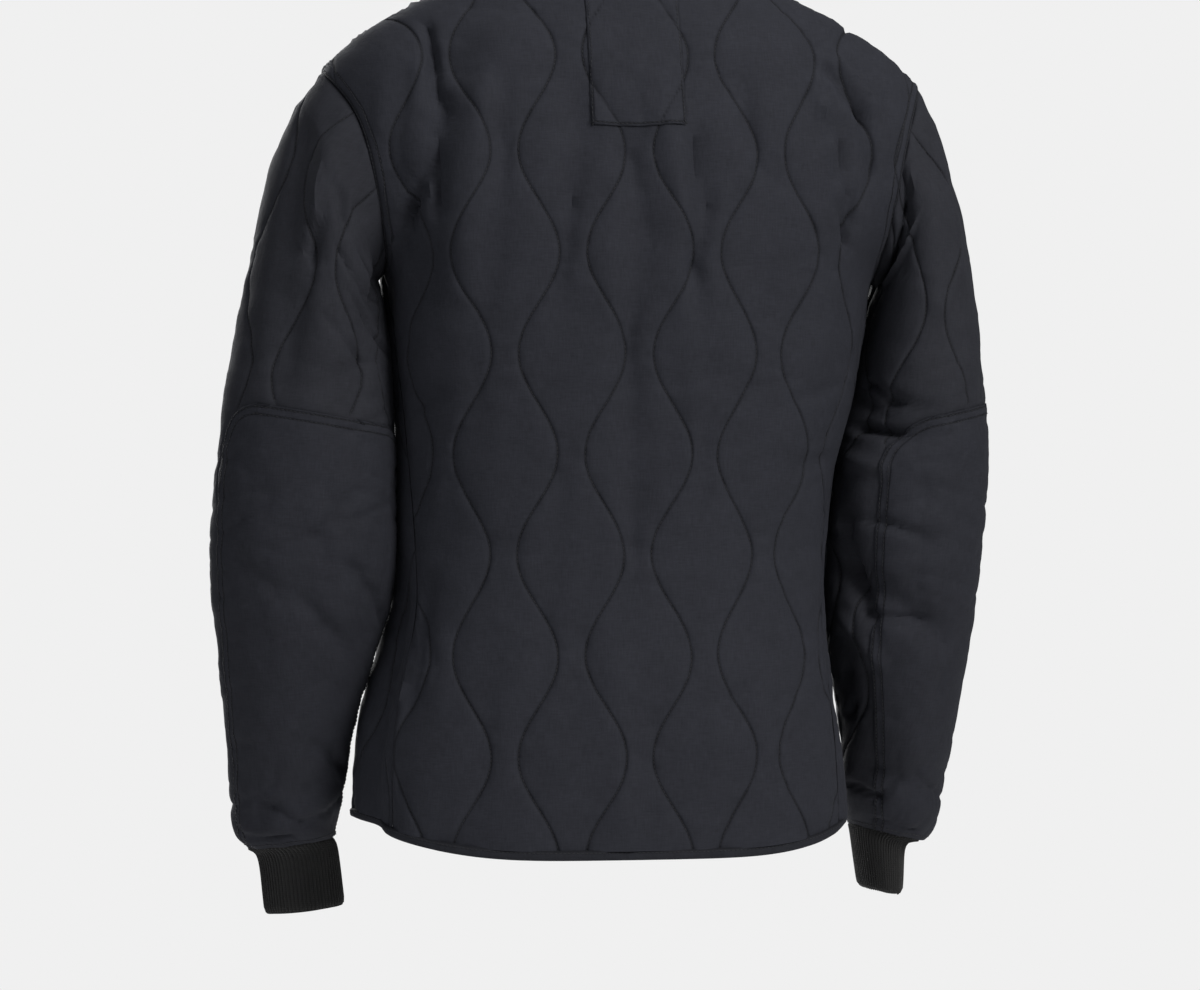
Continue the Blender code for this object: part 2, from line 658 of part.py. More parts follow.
def main():
    for thing in list(bpy.data.objects):
        bpy.data.objects.remove(thing)
    collection = bpy.data.collections.new("quilted_jacket")
    bpy.context.scene.collection.children.link(collection)
    material = {name: make_material(name) for name in MATERIALS}
    make_back(material["quilted_cloth"], collection)
    make_neck_patch(material["plain_cloth"], collection)
    for side in SIDES:
        make_front(side, material["quilted_cloth"], collection)
        make_front_binding(side, material["tape"], collection)
        make_sleeve(side, material["quilted_cloth"], collection)
        make_elbow_panel(side, material["plain_cloth"], collection)
        make_cuff(side, material["rib_knit"], collection)
    hem_rows = (0.0, HEM_TAPE_ROW - ROW_GAP)
    make_ring_binding("hem_binding", HEM_TAPE_ROW, hem_rows, material["tape"], collection)
    neck_rows = (NECK_TAPE_ROW + ROW_GAP, NECK_ROW)
    make_ring_binding("neck_binding", NECK_TAPE_ROW, neck_rows, material["tape"], collection)
    for number, z in enumerate(SNAP_HEIGHTS, 1):
        make_snap(number, z, material["snap_metal"], collection)


main()
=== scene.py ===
"""Quilted liner jacket: cloth, stitching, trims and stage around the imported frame.

Metres, +Z up. The front faces -Y and +X is the wearer's left. Turns are degrees round the body
from the centre back towards the wearer's left. Rows are places between the sections of a table.
"""

import json
import math

import bmesh
import bpy
import numpy as np
from mathutils import Matrix, Vector
from mathutils.bvhtree import BVHTree
from mathutils.kdtree import KDTree

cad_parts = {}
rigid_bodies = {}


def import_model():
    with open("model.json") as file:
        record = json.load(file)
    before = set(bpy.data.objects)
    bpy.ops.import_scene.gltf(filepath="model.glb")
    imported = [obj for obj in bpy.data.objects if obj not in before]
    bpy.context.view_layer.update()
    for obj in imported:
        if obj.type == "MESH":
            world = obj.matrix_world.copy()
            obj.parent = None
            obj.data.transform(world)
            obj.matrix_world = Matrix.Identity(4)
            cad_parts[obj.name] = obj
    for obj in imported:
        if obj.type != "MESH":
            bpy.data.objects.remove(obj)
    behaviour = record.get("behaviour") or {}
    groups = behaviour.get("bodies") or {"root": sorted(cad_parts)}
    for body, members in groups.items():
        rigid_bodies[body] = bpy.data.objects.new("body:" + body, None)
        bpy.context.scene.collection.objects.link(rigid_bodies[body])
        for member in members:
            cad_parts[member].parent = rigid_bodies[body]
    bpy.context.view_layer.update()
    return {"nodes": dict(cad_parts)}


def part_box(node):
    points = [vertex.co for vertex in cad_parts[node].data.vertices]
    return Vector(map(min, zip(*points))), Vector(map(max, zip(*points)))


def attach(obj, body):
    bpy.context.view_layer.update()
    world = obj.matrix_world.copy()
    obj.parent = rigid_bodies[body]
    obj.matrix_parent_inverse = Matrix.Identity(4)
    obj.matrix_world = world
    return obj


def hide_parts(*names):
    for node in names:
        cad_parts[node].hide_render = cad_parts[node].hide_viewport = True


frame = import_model()

bl_info = {
    "name": "Quilted liner jacket",
    "version": (1, 0, 0),
    "blender": (4, 5, 0),
    "location": "View3D > Sidebar > Jacket",
    "description": "Builds the cloth, stitching, trims and stage of a quilted liner jacket",
    "category": "Object",
}

BODY_NAME = "root"
SIDES = {"left": 1.0, "right": -1.0}

# Cloth walls and trims, as cut
QUILT_WALL = 0.003
OVERLAY_WALL = 0.0014
RIB_WALL = 0.003
SEAM_GAP = 0.0004
OVERLAY_LIFT = 0.0008
OVERLAP = 0.013
UNDERLAP_DEPTH = 0.0055
UNDERLAP_START = 150.0
UNDERLAP_FULL = 168.0
TAPE_WIDTH = 0.007

# Armholes, in degrees from the side line at mid height
ARMHOLE_BACK = 19.0
ARMHOLE_FRONT = 25.0
SIDE_SEAM_HEM = 70.0
SIDE_SEAM_UNDERARM = 88.0
SHOULDER_SEAM = 91.0

PATCH_WIDTH = 0.074
PATCH_BOTTOM = -0.150

# The body and sleeve sections that the solids were lofted over.
BODY_COLUMNS = (
    "name", "z_back", "z_side", "z_front", "spread", "left", "right", "back", "front", "square",
)
BODY = (
    ("hem", -0.709, -0.683, -0.705, 8.0, 0.208, 0.187, 0.122, 0.140, 2.5),
    ("skirt", -0.650, -0.636, -0.650, 6.0, 0.206, 0.184, 0.123, 0.139, 2.5),
    ("hip", -0.590, -0.585, -0.590, 4.0, 0.197, 0.177, 0.122, 0.136, 2.5),
    ("low_waist", -0.530, -0.528, -0.530, 2.0, 0.181, 0.171, 0.117, 0.132, 2.4),
    ("waist", -0.475, -0.475, -0.475, 2.0, 0.174, 0.170, 0.114, 0.130, 2.4),
    ("ribs", -0.415, -0.415, -0.415, 2.0, 0.174, 0.177, 0.116, 0.131, 2.4),
    ("high_ribs", -0.352, -0.352, -0.352, 2.0, 0.176, 0.192, 0.121, 0.134, 2.5),
    ("chest", -0.302, -0.302, -0.302, 2.0, 0.180, 0.2015, 0.125, 0.135, 2.5),
    ("underarm", -0.254, -0.252, -0.254, 2.0, 0.186, 0.211, 0.127, 0.133, 2.5),
    ("low_armhole", -0.218, -0.214, -0.219, 2.0, 0.206, 0.234, 0.126, 0.129, 2.6),
    ("mid_armhole", -0.182, -0.174, -0.184, 2.0, 0.225, 0.254, 0.123, 0.122, 2.6),
    ("high_armhole", -0.145, -0.132, -0.152, 2.0, 0.232, 0.256, 0.118, 0.112, 2.5),
    ("shoulder_tip", -0.110, -0.094, -0.130, 2.0, 0.234, 0.245, 0.110, 0.101, 2.3),
    ("outer_yoke", -0.082, -0.057, -0.119, 2.0, 0.195, 0.197, 0.102, 0.096, 2.3),
    ("mid_yoke", -0.058, -0.033, -0.107, 2.0, 0.150, 0.150, 0.093, 0.091, 2.2),
    ("inner_yoke", -0.033, -0.012, -0.093, 2.0, 0.110, 0.110, 0.083, 0.086, 2.1),
    ("neck", -0.006, 0.007, -0.066, 2.0, 0.074, 0.074, 0.067, 0.078, 2.0),
)
UNDERARM_ROW = 8.0
TIP_ROW = 12.0
NECK_ROW = 16.0
HEM_TAPE_ROW = 0.125
NECK_TAPE_ROW = 15.82

SLEEVE_COLUMNS = ("name", "out_x", "out_z", "in_x", "in_z", "y", "depth")
SLEEVES = {
    "left": (
        ("cap", 0.2535, -0.122, 0.191, -0.260, 0.000, 0.075),
        ("low_cap", 0.2715, -0.168, 0.1875, -0.276, 0.000, 0.078),
        ("high_arm", 0.283, -0.215, 0.1840, -0.297, 0.002, 0.077),
        ("mid_arm", 0.294, -0.268, 0.1815, -0.330, 0.005, 0.074),
        ("low_arm", 0.305, -0.326, 0.1800, -0.358, 0.008, 0.070),
        ("above_elbow", 0.315, -0.388, 0.1785, -0.400, 0.010, 0.066),
        ("elbow", 0.320, -0.450, 0.1785, -0.456, 0.010, 0.063),
        ("below_elbow", 0.319, -0.508, 0.1815, -0.510, 0.004, 0.059),
        ("forearm", 0.313, -0.564, 0.1950, -0.560, -0.008, 0.054),
        ("mid_forearm", 0.306, -0.620, 0.2070, -0.612, -0.024, 0.049),
        ("low_forearm", 0.301, -0.668, 0.2120, -0.659, -0.042, 0.045),
        ("blouse", 0.297, -0.697, 0.2180, -0.688, -0.052, 0.043),
        ("cuff_seam", 0.287, -0.711, 0.218, -0.703, -0.058, 0.034),
        ("cuff_top", 0.278, -0.721, 0.214, -0.714, -0.061, 0.029),
        ("cuff_end", 0.272, -0.765, 0.208, -0.758, -0.067, 0.027),
    ),
    "right": (
        ("cap", 0.259, -0.124, 0.2155, -0.260, 0.000, 0.075),
        ("low_cap", 0.274, -0.168, 0.2110, -0.277, 0.000, 0.078),
        ("high_arm", 0.286, -0.215, 0.2065, -0.298, 0.002, 0.077),
        ("mid_arm", 0.294, -0.268, 0.2000, -0.326, 0.005, 0.074),
        ("low_arm", 0.301, -0.326, 0.1925, -0.360, 0.008, 0.070),
        ("above_elbow", 0.303, -0.388, 0.1820, -0.402, 0.010, 0.066),
        ("elbow", 0.301, -0.450, 0.1755, -0.457, 0.010, 0.063),
        ("below_elbow", 0.297, -0.508, 0.1755, -0.510, 0.004, 0.059),
        ("forearm", 0.291, -0.564, 0.1820, -0.560, -0.008, 0.054),
        ("mid_forearm", 0.285, -0.620, 0.1925, -0.612, -0.024, 0.049),
        ("low_forearm", 0.281, -0.668, 0.1985, -0.657, -0.042, 0.045),
        ("blouse", 0.277, -0.700, 0.2045, -0.686, -0.052, 0.043),
        ("cuff_seam", 0.268, -0.713, 0.209, -0.699, -0.058, 0.037),
        ("cuff_top", 0.256, -0.719, 0.212, -0.710, -0.061, 0.035),
        ("cuff_end", 0.254, -0.757, 0.220, -0.752, -0.067, 0.034),
    ),
}
CUFF_SEAM_ROW = 13.0
CUFF_END_ROW = 15.0
CAP_EASE = 0.35  # how much the sleeve head bends between the armhole and its first section
PANEL_ROWS = (5.45, 12.84)  # elbow panels, along the sleeve
PANEL_SPAN = {"left": (18.0, 178.0), "right": (-18.0, 126.0)}
PANEL_CORNER = 0.032  # radius of an elbow panel's top corners

# Large folds that the solids have too: two ends in degrees and metres, half width, height.
FOLD_RADIUS = 0.15
BODY_FOLDS = (
    ("left_side_valley", 80.0, -0.52, 78.0, -0.72, 0.016, -0.011),
    ("back_ridge_right", -12.0, -0.15, -22.0, -0.34, 0.020, 0.005),
    ("back_valley_right", -19.0, -0.16, -17.0, -0.36, 0.014, -0.005),
    ("back_valley_mid", 3.0, -0.18, 2.0, -0.44, 0.016, -0.004),
    ("back_valley_left", 22.0, -0.13, 30.0, -0.25, 0.016, -0.005),
    ("left_blade_valley", 58.0, -0.10, 66.0, -0.24, 0.018, -0.008),
    ("left_blade_ridge", 48.0, -0.12, 54.0, -0.25, 0.018, 0.005),
    ("right_blade_valley", -63.0, -0.17, -70.0, -0.24, 0.018, -0.006),
    ("front_drape_left", 125.0, -0.20, 135.0, -0.52, 0.022, 0.005),
    ("front_drape_right", -128.0, -0.18, -140.0, -0.46, 0.022, 0.005),
)
SLEEVE_FOLD_RADIUS = 0.06
SLEEVE_ROW_LENGTH = 0.052
SLEEVE_FOLDS = {
    "left": (
        ("long_fold", 40.0, 1.5, 60.0, 4.5, 0.014, -0.006),
        ("inner_fold", 136.0, 3.0, 110.0, 5.0, 0.014, -0.005),
        ("wrist_fold", 60.0, 11.4, 120.0, 10.8, 0.012, -0.004),
    ),
    "right": (
        ("elbow_fold", 148.0, 5.0, 110.0, 5.5, 0.014, -0.007),
        ("crook_fold", 150.0, 7.6, 80.0, 8.4, 0.014, -0.009),
        ("wrist_fold", 120.0, 10.8, 60.0, 11.1, 0.012, -0.005),
    ),
}
# Creases placed one by one. across is metres round the body from the centre back or front,
# positive to the wearer's left on the back and towards the side on the fronts.
# Columns: name, across and height of one end, of the other end, half width, height.
BACK_CREASES = (
    ("right_of_patch", -0.041, -0.150, -0.051, -0.205, 0.0053, -0.0046),
    ("right_of_patch_low", -0.051, -0.200, -0.043, -0.252, 0.0062, -0.0032),
    ("right_long", -0.043, -0.255, -0.053, -0.330, 0.0057, -0.0035),
    ("right_long_low", -0.053, -0.330, -0.050, -0.430, 0.0079, -0.0024),
    ("right_ridge", -0.028, -0.160, -0.034, -0.215, 0.0079, 0.0028),
    ("right_ridge_low", -0.036, -0.290, -0.038, -0.400, 0.0097, 0.0024),
    ("mid_top", 0.006, -0.170, -0.004, -0.225, 0.0053, -0.0026),
    ("mid", -0.004, -0.225, 0.009, -0.305, 0.0070, -0.0032),
    ("mid_low", 0.009, -0.305, 0.004, -0.470, 0.0070, -0.0028),
    ("mid_ridge", 0.020, -0.200, 0.022, -0.290, 0.0097, 0.0021),
    ("left_top", 0.043, -0.140, 0.053, -0.205, 0.0053, -0.0032),
    ("left_mid", 0.053, -0.205, 0.060, -0.262, 0.0062, -0.0024),
    ("left_ridge", 0.066, -0.160, 0.074, -0.240, 0.0097, 0.0021),
    ("blade_left", 0.104, -0.105, 0.110, -0.150, 0.0062, -0.0035),
    ("blade_left_low", 0.105, -0.160, 0.116, -0.268, 0.0070, -0.0035),
    ("blade_left_ridge", 0.123, -0.130, 0.133, -0.230, 0.0097, 0.0032),
    ("blade_right", -0.083, -0.112, -0.094, -0.172, 0.0070, -0.0032),
    ("blade_right_low", -0.104, -0.190, -0.101, -0.285, 0.0088, -0.0024),
    ("waist_left", 0.060, -0.420, 0.075, -0.560, 0.0097, -0.0019),
    ("waist_right", -0.090, -0.440, -0.082, -0.580, 0.0106, -0.0018),
    ("skirt_mid", 0.020, -0.560, 0.012, -0.690, 0.0106, 0.0018),
    ("skirt_left", 0.118, -0.560, 0.124, -0.690, 0.0106, -0.0018),
    ("left_arm_crease", 0.162, -0.062, 0.158, -0.118, 0.0044, -0.0079),
    ("left_arm_long", 0.152, -0.128, 0.158, -0.205, 0.0053, -0.0096),
    ("left_arm_branch", 0.164, -0.175, 0.188, -0.213, 0.0053, -0.0079),
    ("left_arm_foot", 0.188, -0.213, 0.200, -0.235, 0.0053, -0.0070),
    ("left_arm_ridge", 0.172, -0.100, 0.176, -0.165, 0.0070, 0.0046),
    ("left_yoke_ridge", 0.190, -0.085, 0.205, -0.140, 0.0070, 0.0028),
    ("right_arm_edge", -0.152, -0.132, -0.166, -0.205, 0.0053, 0.0066),
    ("right_arm_dip", -0.161, -0.140, -0.177, -0.210, 0.0057, -0.0088),
    ("right_arm_foot", -0.166, -0.205, -0.176, -0.232, 0.0044, -0.0105),
    ("right_yoke_a", -0.160, -0.096, -0.186, -0.128, 0.0048, -0.0053),
    ("right_yoke_b", -0.186, -0.128, -0.196, -0.168, 0.0048, -0.0046),
    ("right_yoke_c", -0.172, -0.088, -0.200, -0.122, 0.0048, 0.0042),
    ("right_yoke_d", -0.182, -0.084, -0.212, -0.116, 0.0040, -0.0035),
    ("right_blade_hang", -0.136, -0.100, -0.142, -0.150, 0.0070, -0.0028),
    ("right_waist_pull", -0.140, -0.352, -0.175, -0.342, 0.0053, -0.0021),
    ("right_waist_pull_low", -0.138, -0.405, -0.172, -0.400, 0.0062, -0.0021),
    ("left_waist_pull", 0.160, -0.352, 0.188, -0.360, 0.0053, -0.0021),
    ("left_hip_shade", 0.172, -0.500, 0.186, -0.585, 0.0079, -0.0039),
    ("left_hip_ridge", 0.196, -0.560, 0.204, -0.640, 0.0079, 0.0032),
)
FRONT_CREASES = (
    ("chest_hang", 0.072, -0.200, 0.086, -0.330, 0.0104, -0.0025),
    ("chest_ridge", 0.100, -0.170, 0.112, -0.300, 0.0114, 0.0028),
    ("shoulder_pull", 0.118, -0.110, 0.172, -0.170, 0.0066, -0.0042),
    ("shoulder_pull_low", 0.126, -0.150, 0.182, -0.222, 0.0076, 0.0031),
    ("armpit", 0.160, -0.215, 0.196, -0.250, 0.0057, -0.0050),
    ("waist_hang", 0.060, -0.400, 0.052, -0.560, 0.0114, -0.0020),
    ("side_pull", 0.130, -0.420, 0.176, -0.440, 0.0066, -0.0020),
    ("skirt_hang", 0.116, -0.540, 0.126, -0.680, 0.0123, 0.0020),
    ("edge_pull", 0.014, -0.292, 0.058, -0.270, 0.0066, -0.0017),
    ("edge_pull_low", 0.014, -0.532, 0.052, -0.520, 0.0066, -0.0014),
)
# Creases of the sleeves. Columns: name, angle round the sleeve from its outer edge to the back
# and row of one end, of the other end, half width, height.
SLEEVE_CREASES = {
    "left": (
        ("head_fold", 75.0, 0.3, 92.0, 1.6, 0.0057, -0.0049),
        ("long_fold_edge", 78.0, 1.4, 72.0, 3.0, 0.0057, -0.0049),
        ("long_fold_foot", 72.0, 3.0, 66.0, 5.0, 0.0076, -0.0036),
        ("head_ridge", 60.0, 0.5, 70.0, 2.2, 0.0076, 0.0032),
        ("pull_a", 122.0, 1.9, 146.0, 2.3, 0.0038, -0.0046),
        ("pull_b", 100.0, 2.5, 128.0, 2.9, 0.0043, -0.0042),
        ("pull_c", 96.0, 3.9, 120.0, 4.2, 0.0047, -0.0032),
        ("pull_d", 120.0, 3.2, 150.0, 3.6, 0.0047, -0.0038),
        ("inner_deep", 152.0, 1.2, 140.0, 2.6, 0.0066, -0.0082),
        ("elbow_a", 92.0, 7.2, 112.0, 6.7, 0.0057, -0.0029),
        ("elbow_b", 90.0, 8.1, 120.0, 8.7, 0.0066, -0.0036),
        ("elbow_c", 122.0, 7.6, 152.0, 8.2, 0.0057, -0.0052),
        ("elbow_d", 40.0, 7.4, 70.0, 7.9, 0.0076, -0.0019),
        ("fore_a", 62.0, 11.2, 104.0, 11.8, 0.0057, -0.0032),
        ("fore_b", 40.0, 12.2, 88.0, 12.3, 0.0047, -0.0032),
        ("fore_c", 110.0, 10.2, 150.0, 10.6, 0.0057, -0.0038),
        ("front_crook_a", -60.0, 6.4, -140.0, 6.8, 0.0066, -0.0082),
        ("front_crook_b", -40.0, 7.3, -130.0, 7.5, 0.0066, -0.0068),
        ("front_crook_c", -70.0, 8.2, -150.0, 8.0, 0.0057, -0.0055),
        ("front_head", -60.0, 0.6, -88.0, 2.2, 0.0066, -0.0049),
        ("front_low", -60.0, 11.4, -120.0, 11.0, 0.0057, -0.0038),
    ),
    "right": (
        ("armpit_deep", 152.0, 0.9, 108.0, 0.5, 0.0047, -0.0089),
        ("armpit_deep_rise", 108.0, 0.7, 88.0, 0.1, 0.0043, -0.0073),
        ("armpit_lip", 150.0, 1.4, 112.0, 1.1, 0.0057, 0.0046),
        ("head_ridge", 52.0, 0.6, 60.0, 3.2, 0.0085, 0.0036),
        ("elbow_up", 152.0, 4.5, 128.0, 5.0, 0.0043, -0.0061),
        ("elbow_up_end", 128.0, 5.0, 98.0, 5.3, 0.0043, -0.0052),
        ("elbow_deep", 152.0, 5.4, 122.0, 5.6, 0.0052, -0.0107),
        ("elbow_roll", 152.0, 6.0, 132.0, 6.1, 0.0066, 0.0055),
        ("crook_up", 152.0, 6.9, 146.0, 7.5, 0.0047, -0.0071),
        ("crook_deep", 152.0, 7.5, 128.0, 8.3, 0.0057, -0.0107),
        ("crook_end", 128.0, 8.3, 84.0, 8.4, 0.0043, -0.0055),
        ("crook_lip", 152.0, 8.4, 126.0, 8.9, 0.0066, 0.0042),
        ("panel_pull", 118.0, 6.9, 86.0, 7.2, 0.0047, -0.0032),
        ("fore_pull", 150.0, 9.2, 152.0, 9.8, 0.0047, -0.0059),
        ("wrist_pull", 152.0, 11.2, 122.0, 11.4, 0.0043, -0.0059),
        ("wrist_pull_end", 122.0, 11.4, 104.0, 11.1, 0.0043, -0.0038),
        ("blouse_pull", 120.0, 12.2, 70.0, 12.3, 0.0047, -0.0029),
        ("front_crook_a", -60.0, 6.5, -140.0, 6.9, 0.0066, -0.0084),
        ("front_crook_b", -46.0, 7.4, -138.0, 7.7, 0.0066, -0.0071),
        ("front_crook_c", -74.0, 8.4, -150.0, 8.1, 0.0057, -0.0055),
        ("front_head", -58.0, 0.6, -84.0, 2.4, 0.0066, -0.0049),
        ("front_low", -60.0, 11.3, -124.0, 11.0, 0.0057, -0.0038),
    ),
}

# Mesh steps
ROW_STEP = 0.0032
ARMHOLE_STEPS = 46
CELL_SHARES = (0.0, 0.03, 0.075, 0.15, 0.26, 0.38, 0.5, 0.62, 0.74, 0.85, 0.925, 0.97)
DENSE = 560  # samples along one row when its columns are placed
LINE_NUMBERS = np.arange(-8, 8)
NEAR_EDGE = 0.0007  # columns closer than this to a panel's edge are laid on it
DIFFERENCE_STEP = 0.01
NOISE_SIZE = 256
BODY_PRESS = 0.0010  # how far the sides stand out where body and sleeve press together
SLEEVE_PRESS = 0.0016
SEAM_SLANT = 0.0022  # how far a butted seam leans through the cloth, so no light passes it
SEAM_DIP = 0.0012  # how deep the cloth rolls in at a seam
SEAM_DIP_WIDTH = 0.0016
ALLOWANCE = 0.0007  # how far a topstitched seam allowance raises the cloth
ALLOWANCE_EDGE = (0.0085, 0.0115)
ARM_DEGREE = 0.0095 / 9.0  # metres round the lower arm for one degree
BACK_SEED = 1
FRONT_SEEDS = {"left": 5, "right": 9}
SLEEVE_SEEDS = {"left": 13, "right": 17}
BACK_CREST = -0.0855  # height where the centre cell of the back is widest
FRONT_CREST = -0.052
SLEEVE_CREST = {"left": -0.175, "right": -0.205}

# Each sheet as it was cut: its flat width and length, and its area if it isn't a rectangle
CUTS = {
    "back": ((0.55, 0.73), 0.335),
    "front": ((0.30, 0.73), 0.185),
    "sleeve": ((0.47, 0.63), 0.235),
    "patch": ((0.074, 0.165), None),
    "elbow_left": ((0.190, 0.365), 0.058),
    "elbow_right": ((0.160, 0.370), 0.050),
    "cuff": (0.21, 0.058),
}


# ---------------------------------------------------------------- the form


def curves_of(table, columns):
    """Each named column of a table as its own array."""
    return {
        name: np.array([entry[place] for entry in table], float)
        for place, name in enumerate(columns)
        if place
    }


BODY_CURVES = curves_of(BODY, BODY_COLUMNS)
SLEEVE_CURVES = {side: curves_of(table, SLEEVE_COLUMNS) for side, table in SLEEVES.items()}


def along(values, row):
    """Read a column at row numbers between two table rows, as a smooth curve."""
    last = len(values) - 1
    row = np.asarray(row, float)
    start = np.clip(np.floor(row).astype(int), 0, last - 1)
    part = row - start
    ends = (2 * values[0] - values[1], 2 * values[-1] - values[-2])
    longer = np.concatenate(([ends[0]], values, [ends[1]]))
    before, below, above, after = (longer[start + step] for step in range(4))
    slope_a, slope_b = (above - before) / 2, (after - below) / 2
    cube, square = part**3, part**2
    return (
        (2 * cube - 3 * square + 1) * below
        + (cube - 2 * square + part) * slope_a
        + (3 * square - 2 * cube) * above
        + (cube - square) * slope_b
    )


def smooth_step(value, start, end):
    part = np.clip((value - start) / (end - start), 0.0, 1.0)
    return part * part * (3 - 2 * part)


def fold_height(folds, x, y):
    """Sum the folds at places of a flattened surface; each fades out beyond its two ends."""
    total = np.zeros(np.broadcast(x, y).shape)
    for _, ax, ay, bx, by, half_width, height in folds:
        length = math.hypot(bx - ax, by - ay)
        ux, uy = (bx - ax) / length, (by - ay) / length
        run = (x - ax) * ux + (y - ay) * uy
        across = (x - ax) * uy - (y - ay) * ux
        beyond = np.maximum(np.maximum(-run, run - length), 0.0)
        total += height * np.exp(-((across / half_width) ** 2) - (beyond / (2 * half_width)) ** 2)
    return total


def flat_folds(table, radius, row_length):
    """Turn a fold table's angles and rows into metres on the flattened surface."""
    return [
        (name, math.radians(ta) * radius, ea * row_length, math.radians(tb) * radius,
         eb * row_length, half_width, height)
        for name, ta, ea, tb, eb, half_width, height in table
    ]


BODY_FOLDS_FLAT = flat_folds(BODY_FOLDS, FOLD_RADIUS, 1.0)
SLEEVE_FOLDS_FLAT = {
    side: flat_folds(table, SLEEVE_FOLD_RADIUS, SLEEVE_ROW_LENGTH)
    for side, table in SLEEVE_FOLDS.items()
}
SLEEVE_CREASES_FLAT = {
    side: flat_folds(table, SLEEVE_FOLD_RADIUS, SLEEVE_ROW_LENGTH)
    for side, table in SLEEVE_CREASES.items()
}


def stacked(x, y, z):
    return np.stack(np.broadcast_arrays(x, y, z), axis=-1)


def unit(vectors):
    return vectors / np.maximum(np.linalg.norm(vectors, axis=-1, keepdims=True), 1e-12)


def body_base(turn, row):
    """Points of the body form at turns and rows."""
    size = {name: along(values, row) for name, values in BODY_CURVES.items()}
    sine, cosine = np.sin(np.radians(turn)), np.cos(np.radians(turn))
    half = np.where(sine > 0, size["left"], size["right"])
    deep = np.where(cosine > 0, size["back"], size["front"])
    power = size["square"]
    radius = (np.abs(sine / half) ** power + np.abs(cosine / deep) ** power) ** (-1 / power)
    far_z = np.where(cosine > 0, size["z_back"], size["z_front"])
    z = size["z_side"] + (far_z - size["z_side"]) * (1 - np.abs(sine) ** size["spread"])
    return stacked(radius * sine, radius * cosine, z)


def surface_normal(form, turn, row, first_row, last_row):
    low = np.maximum(row - DIFFERENCE_STEP, first_row)
    high = np.minimum(row + DIFFERENCE_STEP, last_row)
    around = form(turn + DIFFERENCE_STEP, row) - form(turn - DIFFERENCE_STEP, row)
    return unit(np.cross(form(turn, high) - form(turn, low), around))


def body_normal(turn, row):
    return surface_normal(body_base, turn, row, 0.0, NECK_ROW)


def body_drop(turn, base):
    """How far the cloth stands off the body form: its large folds less the underlap."""
    lift = fold_height(BODY_FOLDS_FLAT, np.radians(turn) * FOLD_RADIUS, base[..., 2])
    return lift - UNDERLAP_DEPTH * smooth_step(-turn, UNDERLAP_START, UNDERLAP_FULL)


def body_point(turn, row, out=0.0):
    turn, row = np.broadcast_arrays(np.asarray(turn, float), np.asarray(row, float))
    base = body_base(turn, row)
    return base + body_normal(turn, row) * (body_drop(turn, base) + out)[..., None]


SIDE_ROWS = np.linspace(0.0, NECK_ROW, 800)
SIDE_HEIGHTS = along(BODY_CURVES["z_side"], SIDE_ROWS)
BACK_HEIGHTS = along(BODY_CURVES["z_back"], SIDE_ROWS)
TIP_Z = float(along(BODY_CURVES["z_side"], TIP_ROW))
UNDERARM_Z = float(along(BODY_CURVES["z_side"], UNDERARM_ROW))


def armhole(side, angle):
    """Turn and row of the armhole seam; 0 is the shoulder tip, 90 the back, 180 the underarm."""
    sine, cosine = np.sin(np.radians(angle)), np.cos(np.radians(angle))
    share = (1 + cosine) / 2
    row = np.interp(UNDERARM_Z + (TIP_Z - UNDERARM_Z) * share, SIDE_HEIGHTS, SIDE_ROWS)
    reach = np.where(sine > 0, ARMHOLE_BACK, ARMHOLE_FRONT)
    middle = SIDE_SEAM_UNDERARM + (SHOULDER_SEAM - SIDE_SEAM_UNDERARM) * share
    return SIDES[side] * (middle - reach * sine), row


def sleeve_section(side, angle, row):
    size = {name: along(values, row - 1) for name, values in SLEEVE_CURVES[side].items()}
    cosine, sine = np.cos(np.radians(angle)), np.sin(np.radians(angle))
    x = (size["out_x"] + size["in_x"]) / 2 + (size["out_x"] - size["in_x"]) / 2 * cosine
    z = (size["out_z"] + size["in_z"]) / 2 + (size["out_z"] - size["in_z"]) / 2 * cosine
    return stacked(SIDES[side] * x, size["y"] + size["depth"] * sine, z)


def sleeve_base(side, angle, row):
    """The sleeve form: it leaves the armhole at row 0 and follows its table from row 1."""
    angle, row = np.broadcast_arrays(np.asarray(angle, float), np.asarray(row, float))
    section = sleeve_section(side, angle, np.maximum(row, 1.0))
    if row.min() >= 1:
        return section
    seam = body_point(*armhole(side, angle))
    cap = sleeve_section(side, angle, np.ones(row.shape))
    part = row[..., None]
    ease = (part * part * (3 - 2 * part) - part) * CAP_EASE
    return np.where(part >= 1, section, seam * (1 - part) + cap * part + (cap - seam) * ease)


def sleeve_normal(side, angle, row):
    def form(turn, place):
        return sleeve_base(side, turn, place)

    return SIDES[side] * surface_normal(form, angle, row, 0.0, CUFF_END_ROW)


def mitre_normal(side, angle):
    """Shared normal of body and sleeve cloth along the armhole seam."""
    body = body_normal(*armhole(side, angle))
    return unit(body + sleeve_normal(side, angle, np.zeros(np.shape(angle))))


def armhole_angle(row, back):
    """Angle of the armhole seam at rows, on the back or the front."""
    angles = np.linspace(0.0, 180.0, 721)
    falling = -armhole("left", angles)[1]
    angle = np.interp(-np.asarray(row, float), falling, angles)
    return angle if back else -angle


def panel_edge(row, back):
    """Turn of a body panel's side, armhole or shoulder edge at rows, without its sign."""
    share = (row / UNDERARM_ROW) ** 2
    low = SIDE_SEAM_HEM + (SIDE_SEAM_UNDERARM - SIDE_SEAM_HEM) * share
    beside = np.abs(armhole("left", armhole_angle(row, back))[0])
    return np.where(row < UNDERARM_ROW, low, np.where(row >= TIP_ROW, SHOULDER_SEAM, beside))


# ---------------------------------------------------------------- soft unevenness

NOISE = np.random.default_rng(41).random((NOISE_SIZE, NOISE_SIZE))


